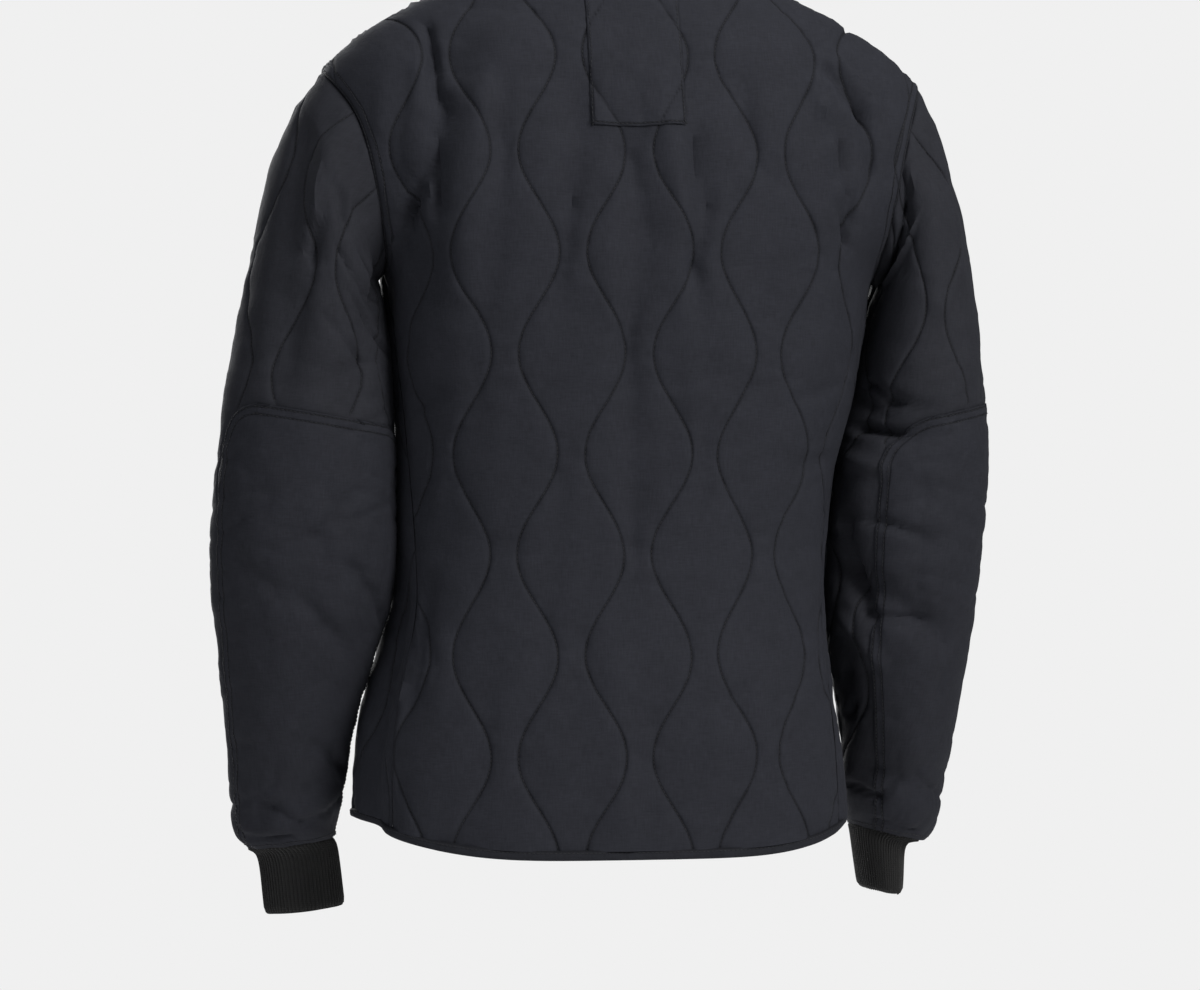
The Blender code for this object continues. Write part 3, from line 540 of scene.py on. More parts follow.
def soft_noise(x, y, shift):
    """Smooth unevenness from -1 to 1 whose bumps are about one unit apart."""
    x, y = np.asarray(x) + shift * 17.31, np.asarray(y) + shift * 5.77
    column, row = np.floor(x).astype(int), np.floor(y).astype(int)
    fx, fy = x - column, y - row
    fx, fy = fx * fx * (3 - 2 * fx), fy * fy * (3 - 2 * fy)

    def at(step_x, step_y):
        return NOISE[(column + step_x) % NOISE_SIZE, (row + step_y) % NOISE_SIZE]

    low = at(0, 0) * (1 - fx) + at(1, 0) * fx
    high = at(0, 1) * (1 - fx) + at(1, 1) * fx
    return 2 * (low * (1 - fy) + high * fy) - 1


def crease_noise(x, y, shift):
    """Narrow winding valleys, from 0 between them to -1 in them."""
    return -((1 - np.abs(soft_noise(x, y, shift))) ** 5)


# ---------------------------------------------------------------- quilting


def line_places(v, quilt, crest):
    """Where every quilting line runs, in metres across, at heights v."""
    swing = quilt.swing * np.cos(2 * math.pi * (np.asarray(v) - crest) / quilt.wave)
    mirrored = np.where(LINE_NUMBERS % 2 == 0, 1.0, -1.0)
    return (LINE_NUMBERS + 0.5) * quilt.spacing + mirrored * swing[..., None]


def quilt_place(u, v, quilt, crest):
    """Number of the quilting cell at (u, v), with its share across, and metres to its lines."""
    lines = line_places(v, quilt, crest)
    below = np.clip(np.sum(u[..., None] > lines, axis=-1), 1, len(LINE_NUMBERS) - 1)
    low = np.take_along_axis(lines, (below - 1)[..., None], -1)[..., 0]
    high = np.take_along_axis(lines, below[..., None], -1)[..., 0]
    share = (u - low) / (high - low)
    swing = quilt.swing * 2 * math.pi / quilt.wave
    lean = np.cos(np.arctan(swing * np.sin(2 * math.pi * (v - crest) / quilt.wave)))
    distance = np.minimum(np.abs(u - low), np.abs(high - u)) * lean
    return LINE_NUMBERS[below - 1] + share, distance, (high - low) / 2


def quilt_height(u, v, quilt, crest, seed):
    """Height of the padded cloth: furrows at the lines, soft pads between, puckers beside."""
    cell, distance, half = quilt_place(u, v, quilt, crest)
    furrow = np.exp(-((distance / quilt.furrow_width) ** 1.5))
    fullness = np.clip(half / quilt.spacing * 1.3, 0.3, 1.0)
    pad = quilt.pad * fullness * (1 - np.exp(-((distance / (0.32 * half + 0.004)) ** 1.6)))
    near = np.exp(-((distance / 0.0085) ** 1.4)) * (1 - 0.7 * furrow)
    number = np.round(cell)
    pucker = soft_noise(v / 0.0052 + number * 3.7, number + 0.5, seed)
    pucker = pucker + 0.6 * soft_noise(v / 0.0105 + number * 5.1, u / 0.02, seed + 3)
    neck = np.exp(-(((half - 0.0105) / 0.009) ** 2))
    across = soft_noise(u / 0.016, v / 0.0062, seed + 7) * neck
    return (
        pad
        - quilt.furrow * furrow
        + quilt.pucker * near * pucker
        + quilt.pucker * 0.9 * across
    ), distance


def crumple_height(u, v, quilt, seed):
    """Soft wrinkling of worn cloth: long upright waves, short dents and small crimps."""
    upright = soft_noise(u / 0.030, v / 0.105, seed) + 0.5 * soft_noise(
        u / 0.017 + v / 0.12, v / 0.048, seed + 11
    )
    level = soft_noise(u / 0.052, v / 0.021 + u / 0.09, seed + 19)
    crimps = soft_noise(u / 0.0085, v / 0.0075, seed + 23)
    dents = soft_noise(u / 0.020, v / 0.018, seed + 29)
    bend = 0.4 * soft_noise(u / 0.05, v / 0.05, seed)
    lines = crease_noise(u / 0.034 + bend, v / 0.060, seed + 37)
    fine = crease_noise(u / 0.021 + v / 0.050, v / 0.027, seed + 43)
    return quilt.crumple * (
        upright + 0.35 * level + 0.30 * dents + 0.14 * crimps + 0.75 * lines + 0.40 * fine
    )


def drag_height(turn, row, u, v, quilt, seed):
    """Slanting creases of a hanging sleeve, most at the crook of the elbow and above the cuff."""
    inner = (1 - np.cos(np.radians(turn))) / 2
    crook = np.exp(-(((row - 6.4) / 2.2) ** 2)) * (0.35 + 0.9 * inner)
    wrist = 0.8 * np.exp(-(((row - 11.6) / 1.2) ** 2))
    head = 0.45 * np.exp(-(((row - 1.6) / 1.6) ** 2)) * inner
    slant = crease_noise(u / 0.060, v / 0.024 - u / 0.080, seed + 53)
    small = crease_noise(u / 0.034, v / 0.015 + u / 0.060, seed + 59)
    return 1.9 * quilt.crumple * (crook + wrist + head + 0.18) * (slant + 0.5 * small + 0.25)


def body_press(turn, z):
    """Where the body's sides are pressed by the sleeves, from 0 to 1."""
    beside = np.exp(-(((np.abs(turn) - 92.0) / 12.0) ** 2))
    return beside * smooth_step(-z, 0.25, 0.30) * (1 - smooth_step(-z, 0.50, 0.56))


def sleeve_press(turn, row):
    """Where a sleeve's inner side is pressed by the body, from 0 to 1."""
    beside = np.exp(-(((180.0 - np.abs(turn)) / 28.0) ** 2))
    return beside * smooth_step(row, 1.0, 2.2) * (1 - smooth_step(row, 8.2, 9.4))


def edge_height(distance, topstitched):
    """Height beside a seam: a dip at the seam and, if topstitched, a flat raised allowance."""
    dip = -SEAM_DIP * np.exp(-((distance / SEAM_DIP_WIDTH) ** 2))
    return dip + ALLOWANCE * topstitched * (1 - smooth_step(distance, *ALLOWANCE_EDGE))


def beside_armhole(row):
    """1 where a row lies beside the armhole, 0 below it and over the shoulder."""
    low = smooth_step(row, UNDERARM_ROW - 0.1, UNDERARM_ROW + 0.2)
    return low * (1 - smooth_step(row, TIP_ROW - 0.1, TIP_ROW))


# ---------------------------------------------------------------- meshes


def fine_rows(form, breaks):
    """Rows about one step apart between each two breaks, by the length of the cloth."""
    rows = []
    for low, high in zip(breaks, breaks[1:]):
        line = np.linspace(low, high, 60)
        length = np.linalg.norm(np.diff(form(line), axis=0), axis=1).sum()
        steps = max(2, int(round(length / ROW_STEP)))
        rows.extend(np.linspace(low, high, steps, endpoint=False))
    return [*rows, breaks[-1]]


def body_rows():
    """Rows of the body panels: below the armhole, beside it, and over the shoulder."""
    low = fine_rows(lambda row: body_base(0.0, row), (HEM_TAPE_ROW, *range(1, 9)))[:-1]
    beside = armhole("left", np.linspace(180.0, 0.0, ARMHOLE_STEPS, endpoint=False))[1]
    high = fine_rows(lambda row: body_base(70.0, row), (TIP_ROW, 13, 14, 15, NECK_TAPE_ROW))
    return np.array([*low, *beside, *high])


def wave_columns(rows, place, quilt, crest):
    """Columns that follow the quilting lines, cut off at each row's two edges.

    place gives a row's dense turns with their metres across and heights, in rising order.
    """
    dense = [place(row) for row in rows]
    cells = [
        np.maximum.accumulate(quilt_place(u, v, quilt, crest)[0]) for _, u, v in dense
    ]
    first = int(math.floor(min(c[0] for c in cells)))
    last = int(math.ceil(max(c[-1] for c in cells)))
    wanted = np.array([n + share for n in range(first, last) for share in CELL_SHARES] + [last])
    turn, across, height, low, high = [], [], [], [], []
    for (t, u, v), cell in zip(dense, cells):
        u_row = np.interp(wanted, cell, u)
        inside = np.nonzero((u_row > u[0] + NEAR_EDGE) & (u_row < u[-1] - NEAR_EDGE))[0]
        low.append(inside[0] - 1)
        high.append(inside[-1] + 1)
        placed_row = [np.interp(u_row, u, values) for values in (t, u, v)]
        for values, ends in zip(placed_row, (t, u, v)):
            values[: inside[0]], values[inside[-1] + 1 :] = ends[0], ends[-1]
        turn.append(placed_row[0])
        across.append(placed_row[1])
        height.append(placed_row[2])
    return {
        "turn": np.array(turn),
        "row": np.repeat(np.array(rows)[:, None], len(wanted), 1),
        "u": np.array(across),
        "v": np.array(height),
        "low": np.array(low),
        "high": np.array(high),
        "wanted": wanted,
    }


def plain_columns(turns, rows, u, v):
    """A grid of straight columns with the same fields as wave_columns gives."""
    turn, row = np.broadcast_arrays(turns, np.asarray(rows, float)[:, None])
    count = turn.shape[0]
    return {
        "turn": np.array(turn), "row": np.array(row), "u": u, "v": v,
        "low": np.zeros(count, int), "high": np.full(count, turn.shape[1] - 1),
    }


def far_from(points, edges):
    """Metres from every grid point to the nearest point of some edge lines."""
    samples = np.concatenate([densified(edge) for edge in edges])
    tree = KDTree(len(samples))
    for index, point in enumerate(samples):
        tree.insert(point, index)
    tree.balance()
    flat = points.reshape(-1, 3)
    found = np.array([tree.find(point)[2] for point in flat])
    return found.reshape(points.shape[:-1])


def densified(line, step=0.0012):
    """The points of a polyline with more put between them."""
    lengths = np.concatenate(([0.0], np.cumsum(np.linalg.norm(np.diff(line, axis=0), axis=1))))
    places = np.linspace(0.0, lengths[-1], max(2, int(lengths[-1] / step)))
    return np.stack([np.interp(places, lengths, line[:, axis]) for axis in range(3)], axis=1)


def grid_edge(points, columns, which):
    """One edge line of a grid: low or high side, or its bottom or top row."""
    rows = np.arange(len(points))
    if which in ("low", "high"):
        return points[rows, columns[which]]
    row = 0 if which == "bottom" else -1
    return points[row, columns["low"][row] : columns["high"][row] + 1]


def linked(name, data):
    """An object made of some data, put in the scene."""
    thing = bpy.data.objects.new(name, data)
    bpy.context.scene.collection.objects.link(thing)
    return thing


def cloth_object(name, points, faces, fields, uv, sharp, material):
    """A smooth mesh with its fields as attributes and metres as UVs, by point."""
    mesh = bpy.data.meshes.new(name)
    mesh.from_pydata(points.tolist(), [], faces)
    for key, values in fields.items():
        attribute = mesh.attributes.new(key, "FLOAT", "POINT")
        attribute.data.foreach_set("value", values.astype(np.float32))
    bm = bmesh.new()
    bm.from_mesh(mesh)
    bmesh.ops.recalc_face_normals(bm, faces=bm.faces)
    bm.to_mesh(mesh)
    bm.free()
    layer = mesh.uv_layers.new(name="cloth_metres")
    corner = np.zeros(len(mesh.loops), int)
    mesh.loops.foreach_get("vertex_index", corner)
    layer.data.foreach_set("uv", uv[corner].astype(np.float32).ravel())
    mesh.shade_smooth()
    mesh.set_sharp_from_angle(angle=math.radians(sharp))
    mesh.materials.append(material)
    return linked(name, mesh)


def wall_object(name, outer, inner, columns, fields, uv, material):
    """A closed cloth wall from two grids, with its fields as attributes and metres as UVs."""
    count, width = outer.shape[:2]
    reach = np.clip(np.arange(width)[None, :], columns["low"][:, None], columns["high"][:, None])
    ids = np.arange(count)[:, None] * width + reach
    total = count * width
    quads = np.stack(
        [ids[:-1, :-1], ids[:-1, 1:], ids[1:, 1:], ids[1:, :-1]], axis=-1
    ).reshape(-1, 4)
    faces = [list(quad) for quad in quads] + [[v + total for v in quad[::-1]] for quad in quads]
    rows = np.arange(count)
    for side in ("low", "high"):
        edge = ids[rows, columns[side]]
        faces += [[a, b, b + total, a + total] for a, b in zip(edge, edge[1:])]
    for edge in (ids[0], ids[-1]):
        faces += [[a, b, b + total, a + total] for a, b in zip(edge, edge[1:])]
    clean = []
    for face in faces:
        ring = [v for place, v in enumerate(face) if v != face[place - 1]]
        if len(ring) > 2 and len(set(ring)) == len(ring):
            clean.append(ring)
    used = np.unique(np.concatenate([np.array(ring) for ring in clean]))
    renumber = np.zeros(2 * total, int)
    renumber[used] = np.arange(len(used))
    points = np.concatenate([outer.reshape(-1, 3), inner.reshape(-1, 3)])[used]
    faces = [[int(renumber[v]) for v in ring] for ring in clean]
    both = {key: np.tile(values.reshape(-1), 2)[used] for key, values in fields.items()}
    uv = np.tile(uv.reshape(-1, 2), (2, 1))[used]
    return cloth_object(name, points, faces, both, uv, 55, material)


def outer_tree(outer, columns):
    """A search tree over the outer face of a panel, for laying stitches on it."""
    count, width = outer.shape[:2]
    ids = np.arange(count * width).reshape(count, width)
    quads = np.stack([ids[:-1, :-1], ids[:-1, 1:], ids[1:, 1:], ids[1:, :-1]], -1).reshape(-1, 4)
    return BVHTree.FromPolygons(outer.reshape(-1, 3).tolist(), quads.tolist(), epsilon=0.0)


def laid_row(tree, normals_like, line, inward, distance):
    """A line beside an edge, moved in by a distance and laid on the cloth, with its normals."""
    points, outs = [], []
    for place, towards, out in zip(line, inward, normals_like):
        hit, normal, _, _ = tree.find_nearest(Vector(place + towards * distance))
        normal = np.array(normal)
        points.append(np.array(hit))
        outs.append(normal if normal @ out > 0 else -normal)
    return np.array(points), np.array(outs)


def inward_of(line, normals, centre):
    """Unit directions from an edge line into its panel."""
    ahead = unit(np.gradient(line, axis=0))
    across = unit(np.cross(normals, ahead))
    sign = np.sign(np.sum((centre - line) * across, axis=1, keepdims=True))
    return across * np.where(sign == 0, 1.0, sign)


# ---------------------------------------------------------------- node trees


def new_tree(name, kind, inputs, outputs):
    tree = bpy.data.node_groups.new(name, kind)
    for label, socket, value in inputs:
        made = tree.interface.new_socket(label, in_out="INPUT", socket_type=socket)
        if value is not None:
            made.default_value = value
    for label, socket in outputs:
        tree.interface.new_socket(label, in_out="OUTPUT", socket_type=socket)
    start, end = tree.nodes.new("NodeGroupInput"), tree.nodes.new("NodeGroupOutput")
    return tree, start, end


def math_node(tree, operation, *values):
    """A Math node whose inputs are numbers or other sockets; gives its output socket."""
    node = tree.nodes.new("ShaderNodeMath")
    node.operation = operation
    for place, value in enumerate(values):
        if isinstance(value, (int, float)):
            node.inputs[place].default_value = value
        else:
            tree.links.new(value, node.inputs[place])
    return node.outputs[0]


def times(tree, first, second):
    return math_node(tree, "MULTIPLY", first, second)


def plus(tree, first, second):
    return math_node(tree, "ADD", first, second)


def less(tree, first, second):
    return math_node(tree, "SUBTRACT", first, second)


def joined(tree, *wires):
    """Link sockets; a wire is a node, its output, the next node and its input."""
    for giver, output, taker, entry in wires:
        tree.links.new(giver.outputs[output], taker.inputs[entry])


def realized(tree, maker, output, start, material, end):
    """Make a tree's instances real, give them their material and send them out."""
    real = tree.nodes.new("GeometryNodeRealizeInstances")
    paint = tree.nodes.new("GeometryNodeSetMaterial")
    joined(
        tree,
        (maker, output, real, "Geometry"), (real, "Geometry", paint, "Geometry"),
        (start, material, paint, "Material"), (paint, "Geometry", end, 0),
    )
    return tree


def outward(tree):
    """The direction out of the cloth that each point carries."""
    out = tree.nodes.new("GeometryNodeInputNamedAttribute")
    out.data_type = "FLOAT_VECTOR"
    out.inputs["Name"].default_value = "out"
    return out


def stitch_tree():
    """Geometry Nodes: one short lozenge of thread after another along each line."""
    if "thread_along_lines" in bpy.data.node_groups:
        return bpy.data.node_groups["thread_along_lines"]
    tree, start, end = new_tree(
        "thread_along_lines",
        "GeometryNodeTree",
        (
            ("Lines", "NodeSocketGeometry", None),
            ("Pitch", "NodeSocketFloat", 0.0034),
            ("Length", "NodeSocketFloat", 0.0028),
            ("Thickness", "NodeSocketFloat", 0.0008),
            ("Seed", "NodeSocketInt", 7),
            ("Thread", "NodeSocketMaterial", None),
        ),
        (("Stitches", "NodeSocketGeometry"),),
    )
    node = tree.nodes.new
    curve, even = node("GeometryNodeMeshToCurve"), node("GeometryNodeResampleCurve")
    even.mode = "LENGTH"
    tangent, out = node("GeometryNodeInputTangent"), outward(tree)
    axes = node("FunctionNodeAxesToRotation")
    axes.primary_axis, axes.secondary_axis = "X", "Z"
    bead = node("GeometryNodeMeshUVSphere")
    for label, value in (("Segments", 5), ("Rings", 4), ("Radius", 0.5)):
        bead.inputs[label].default_value = value
    turned = node("GeometryNodeTransform")
    turned.inputs["Rotation"].default_value = (0.0, math.pi / 2, 0.0)
    vary = node("FunctionNodeRandomValue")
    vary.data_type = "FLOAT"
    vary.inputs[2].default_value, vary.inputs[3].default_value = 0.86, 1.08
    size, put = node("ShaderNodeCombineXYZ"), node("GeometryNodeInstanceOnPoints")
    length = times(tree, start.outputs["Length"], vary.outputs[1])
    tree.links.new(length, size.inputs["X"])
    joined(
        tree,
        (start, "Lines", curve, "Mesh"), (curve, "Curve", even, "Curve"),
        (start, "Pitch", even, "Length"), (tangent, "Tangent", axes, 0),
        (out, "Attribute", axes, 1), (bead, "Mesh", turned, "Geometry"),
        (start, "Seed", vary, "Seed"), (start, "Thickness", size, "Y"),
        (start, "Thickness", size, "Z"), (even, "Curve", put, "Points"),
        (turned, "Geometry", put, "Instance"), (axes, "Rotation", put, "Rotation"),
        (size, "Vector", put, "Scale"),
    )
    return realized(tree, put, "Instances", start, "Thread", end)


def rib_tree():
    """Geometry Nodes: a knitted rib of round section along each line."""
    if "ribs_along_lines" in bpy.data.node_groups:
        return bpy.data.node_groups["ribs_along_lines"]
    tree, start, end = new_tree(
        "ribs_along_lines",
        "GeometryNodeTree",
        (
            ("Lines", "NodeSocketGeometry", None),
            ("Radius", "NodeSocketFloat", 0.0011),
            ("Step", "NodeSocketFloat", 0.0035),
            ("Knit", "NodeSocketMaterial", None),
        ),
        (("Ribs", "NodeSocketGeometry"),),
    )
    node = tree.nodes.new
    curve, even = node("GeometryNodeMeshToCurve"), node("GeometryNodeResampleCurve")
    even.mode = "LENGTH"
    ring, sweep = node("GeometryNodeCurvePrimitiveCircle"), node("GeometryNodeCurveToMesh")
    ring.inputs["Resolution"].default_value = 6
    sweep.inputs["Fill Caps"].default_value = True
    smooth = node("GeometryNodeSetShadeSmooth")
    joined(
        tree,
        (start, "Lines", curve, "Mesh"), (curve, "Curve", even, "Curve"),
        (start, "Step", even, "Length"), (start, "Radius", ring, "Radius"),
        (even, "Curve", sweep, "Curve"), (ring, "Curve", sweep, "Profile Curve"),
        (sweep, "Mesh", smooth, "Geometry"),
    )
    return realized(tree, smooth, "Geometry", start, "Knit", end)


def snap_tree():
    """Geometry Nodes: one pressed cap on each point, facing along its own direction."""
    tree, start, end = new_tree(
        "caps_on_points",
        "GeometryNodeTree",
        (
            ("Points", "NodeSocketGeometry", None),
            ("Cap", "NodeSocketObject", None),
            ("Metal", "NodeSocketMaterial", None),
        ),
        (("Caps", "NodeSocketGeometry"),),
    )
    out, turn = outward(tree), tree.nodes.new("FunctionNodeAlignRotationToVector")
    turn.axis = "Z"
    info = tree.nodes.new("GeometryNodeObjectInfo")
    put = tree.nodes.new("GeometryNodeInstanceOnPoints")
    joined(
        tree,
        (start, "Cap", info, "Object"), (out, "Attribute", turn, "Vector"),
        (start, "Points", put, "Points"), (info, "Geometry", put, "Instance"),
        (turn, "Rotation", put, "Rotation"),
    )
    return realized(tree, put, "Instances", start, "Metal", end)


def grown(name, lines, tree, settings, material):
    """Run a node tree over polylines with outward directions and keep the result as a mesh."""
    points = np.concatenate([line for line, _ in lines])
    outs = np.concatenate([out for _, out in lines])
    edges, first = [], 0
    for line, _ in lines:
        edges += [(first + step, first + step + 1) for step in range(len(line) - 1)]
        first += len(line)
    mesh = bpy.data.meshes.new(name)
    mesh.from_pydata(points.tolist(), edges, [])
    attribute = mesh.attributes.new("out", "FLOAT_VECTOR", "POINT")
    attribute.data.foreach_set("vector", outs.astype(np.float32).ravel())
    thing = linked(name, mesh)
    modifier = thing.modifiers.new("grown", "NODES")
    modifier.node_group = tree
    sockets = {
        item.name: item.identifier
        for item in tree.interface.items_tree
        if item.item_type == "SOCKET" and item.in_out == "INPUT"
    }
    for label, value in settings.items():
        modifier[sockets[label]] = value
    bpy.context.view_layer.update()
    seen = bpy.context.evaluated_depsgraph_get()
    result = bpy.data.meshes.new_from_object(thing.evaluated_get(seen))
    thing.modifiers.remove(modifier)
    thing.data = result
    bpy.data.meshes.remove(mesh)
    if not result.materials:
        result.materials.append(material)
    result.shade_smooth()
    return thing


def stitched(name, lines, sewing):
    """Thread along some lines, as one piece that rides with the jacket."""
    thread = material_of("thread")
    settings = {
        "Pitch": sewing.pitch, "Length": sewing.stitch, "Thickness": sewing.thread,
        "Seed": 7, "Thread": thread,
    }
    piece = grown(name, lines, stitch_tree(), settings, thread)
    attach(piece, BODY_NAME)
    return piece


# ---------------------------------------------------------------- materials


def weave_group():
    """Plain weave from UV metres: the height of its threads and the tone of its slubs."""
    if "plain_weave" in bpy.data.node_groups:
        return bpy.data.node_groups["plain_weave"]
    tree, start, end = new_tree(
        "plain_weave",
        "ShaderNodeTree",
        (
            ("Place", "NodeSocketVector", None),
            ("Threads per metre", "NodeSocketFloat", 2100.0),
            ("Slub", "NodeSocketFloat", 0.5),
        ),
        (("Height", "NodeSocketFloat"), ("Tone", "NodeSocketFloat")),
    )
    link = tree.links.new
    parts = tree.nodes.new("ShaderNodeSeparateXYZ")
    link(start.outputs["Place"], parts.inputs[0])
    turns = times(tree, start.outputs["Threads per metre"], math.pi)
    warp = math_node(tree, "SINE", times(tree, parts.outputs["X"], turns))
    weft = math_node(tree, "SINE", times(tree, parts.outputs["Y"], turns))
    height = times(tree, warp, weft)
    tones = []
    for stretch in ((110.0, 900.0, 1.0), (900.0, 95.0, 1.0)):
        pull = tree.nodes.new("ShaderNodeMapping")
        pull.inputs["Scale"].default_value = stretch
        slub = tree.nodes.new("ShaderNodeTexNoise")
        slub.inputs["Scale"].default_value = 1.0
        slub.inputs["Detail"].default_value = 1.0
        link(start.outputs["Place"], pull.inputs["Vector"])
        link(pull.outputs["Vector"], slub.inputs["Vector"])
        tones.append(slub.outputs["Fac"])
    slubs = plus(tree, *tones)
    tone = times(tree, less(tree, slubs, 1.0),
                     start.outputs["Slub"])
    link(plus(tree, times(tree, height, 0.5), tone),
         end.inputs["Height"])
    link(tone, end.inputs["Tone"])
    return tree


def handling_group():
    """Worn, washed cloth: soft mottling of its colour and a fine crush in its surface."""
    if "washed_cloth" in bpy.data.node_groups:
        return bpy.data.node_groups["washed_cloth"]
    tree, start, end = new_tree(
        "washed_cloth",
        "ShaderNodeTree",
        (("Place", "NodeSocketVector", None), ("Size", "NodeSocketFloat", 1.0)),
        (("Mottle", "NodeSocketFloat"), ("Crush", "NodeSocketFloat")),
    )
    link = tree.links.new
    results = []
    for scale, detail, rough in ((34.0, 3.0, 0.55), (150.0, 4.0, 0.6)):
        noise = tree.nodes.new("ShaderNodeTexNoise")
        noise.inputs["Detail"].default_value = detail
        noise.inputs["Roughness"].default_value = rough
        link(start.outputs["Place"], noise.inputs["Vector"])
        link(times(tree, start.outputs["Size"], scale), noise.inputs["Scale"])
        results.append(noise.outputs["Fac"])
    link(results[0], end.inputs["Mottle"])
    link(results[1], end.inputs["Crush"])
    return tree


def furrow_group():
    """A sewn line's furrow from metres to the line: 1 in the furrow, 0 beyond its width."""
    if "sewn_furrow" in bpy.data.node_groups:
        return bpy.data.node_groups["sewn_furrow"]
    tree, start, end = new_tree(
        "sewn_furrow",
        "ShaderNodeTree",
        (
            ("Distance", "NodeSocketFloat", 0.0),
            ("Line at", "NodeSocketFloat", 0.0),
            ("Width", "NodeSocketFloat", 0.001),
        ),
        (("Furrow", "NodeSocketFloat"),),
    )
    away = less(tree, start.outputs["Distance"], start.outputs["Line at"])
    share = math_node(tree, "DIVIDE", away, start.outputs["Width"])
    falls = times(tree, times(tree, share, share), -1.0)
    tree.links.new(math_node(tree, "EXPONENT", falls), end.inputs["Furrow"])
    return tree


def placed(tree, group, **values):
    """A group node with its own values, numbers or sockets, by input name."""
    node = tree.nodes.new("ShaderNodeGroup")
    node.node_tree = group
    for label, value in values.items():
        socket = node.inputs[label.replace("_", " ")]
        if isinstance(value, (int, float)):
            socket.default_value = value
        else:
            tree.links.new(value, socket)
    return node


def attribute_socket(tree, name):
    node = tree.nodes.new("ShaderNodeAttribute")
    node.attribute_name = name
    return node.outputs["Fac"]


def new_material(name):
    material = bpy.data.materials.new(name)
    material.use_nodes = True
    return material, material.node_tree, material.node_tree.nodes["Principled BSDF"]


def shaded(tree, shader, colour, dark, mask, tone, roughness, height, strength, distance):
    """Colour that darkens in a mask and varies with a tone, and a bump from a height."""
    mix = tree.nodes.new("ShaderNodeMix")
    mix.data_type = "RGBA"
    mix.inputs[6].default_value = (*colour, 1.0)
    mix.inputs[7].default_value = (*dark, 1.0)
    tree.links.new(mask, mix.inputs[0])
    vary = tree.nodes.new("ShaderNodeHueSaturation")
    tree.links.new(tone, vary.inputs["Value"])
    tree.links.new(mix.outputs[2], vary.inputs["Color"])
    tree.links.new(vary.outputs["Color"], shader.inputs["Base Color"])
    tree.links.new(roughness, shader.inputs["Roughness"])
    bump = tree.nodes.new("ShaderNodeBump")
    bump.inputs["Strength"].default_value = strength
    bump.inputs["Distance"].default_value = distance
    tree.links.new(height, bump.inputs["Height"])
    tree.links.new(bump.outputs["Normal"], shader.inputs["Normal"])


def cloth_material(name, colour, lines, seam_rows, finish):
    """Matte woven cloth; lines is whether quilting crosses it, seam_rows where it is topstitched.
    The furrows of its quilting lines, topstitched rows and edges are sunk by a bump and also painted
    darker as painted shade.
    """
    material, tree, shader = new_material(name)
    uv = tree.nodes.new("ShaderNodeUVMap")
    uv.uv_map = "cloth_metres"
    weave = placed(tree, weave_group(), Place=uv.outputs["UV"], Slub=finish.slub)
    washed = placed(tree, handling_group(), Place=uv.outputs["UV"])
    furrow_depth_and_shade_masks = []
    if lines:
        near = attribute_socket(tree, "line_distance")
        furrow_depth_and_shade_masks.append(placed(tree, furrow_group(), Distance=near, Width=0.0011).outputs[0])
    edge, sewn = (attribute_socket(tree, name) for name in ("edge_distance", "topstitched"))
    for row in seam_rows:
        node = placed(tree, furrow_group(), Distance=edge, Line_at=row, Width=0.0007)
        furrow_depth_and_shade_masks.append(times(tree, node.outputs[0], sewn))
    furrow_depth_and_shade_masks.append(placed(tree, furrow_group(), Distance=edge, Width=0.0009).outputs[0])
    mask = furrow_depth_and_shade_masks[0]
    for other in furrow_depth_and_shade_masks[1:]:
        mask = math_node(tree, "MAXIMUM", mask, other)
    mottle = times(tree, less(tree, washed.outputs[0], 0.5), 0.34)
    tone = plus(tree, plus(tree, mottle, 1.0),
                     times(tree, weave.outputs["Tone"], 0.5))
    roughness = math_node(tree, "MULTIPLY_ADD", washed.outputs[1], 0.14, finish.roughness - 0.07)
    fine = times(tree, weave.outputs["Height"], 0.10)
    crush = times(tree, washed.outputs[1], 1.1)
    height = less(tree, plus(tree, fine, crush),
                       times(tree, mask, 0.9))
    # Painted shade: in the furrows of the quilting lines, the topstitched rows and the seam edges,
    # the colour is mixed towards a darker copy of itself.
    dark = tuple(value * 0.45 for value in colour)
    shade = times(tree, mask, 0.85)
    shaded(tree, shader, colour, dark, shade, tone, roughness, height, finish.relief, 0.0007)
    shader.inputs["Specular IOR Level"].default_value = 0.10
    shader.inputs["Sheen Weight"].default_value = 0.012
    shader.inputs["Sheen Roughness"].default_value = 0.45
    shader.inputs["Sheen Tint"].default_value = (0.80, 0.84, 1.0, 1.0)
    return material


def knit_material(name, colour, finish):
    """Matte rib knit: short rounded loops along each rib, from object metres, with painted shade in
    the troughs between the loops.
    """
    material, tree, shader = new_material(name)
    place = tree.nodes.new("ShaderNodeTexCoord").outputs["Object"]
    washed = placed(tree, handling_group(), Place=place, Size=1.6)
    parts = tree.nodes.new("ShaderNodeSeparateXYZ")
    tree.links.new(place, parts.inputs[0])
    loops = math_node(tree, "SINE", times(tree, parts.outputs["Z"], 3900.0))
    height = plus(tree, times(tree, loops, 0.35),
                       washed.outputs["Crush"])
    tone = plus(tree, times(tree, washed.outputs["Mottle"], 0.5), 0.75)
    roughness = math_node(tree, "MULTIPLY_ADD", washed.outputs["Crush"], 0.1,
                          finish.roughness + 0.02)
    # Painted shade: the colour darkens in the troughs between the knitted loops.
    mask = math_node(tree, "MULTIPLY_ADD", loops, -0.25, 0.25)
    dark = tuple(value * 0.5 for value in colour)
    shaded(tree, shader, colour, dark, mask, tone, roughness, height, 0.5, 0.0005)
    shader.inputs["Specular IOR Level"].default_value = 0.15
    shader.inputs["Sheen Weight"].default_value = 0.05
    return material


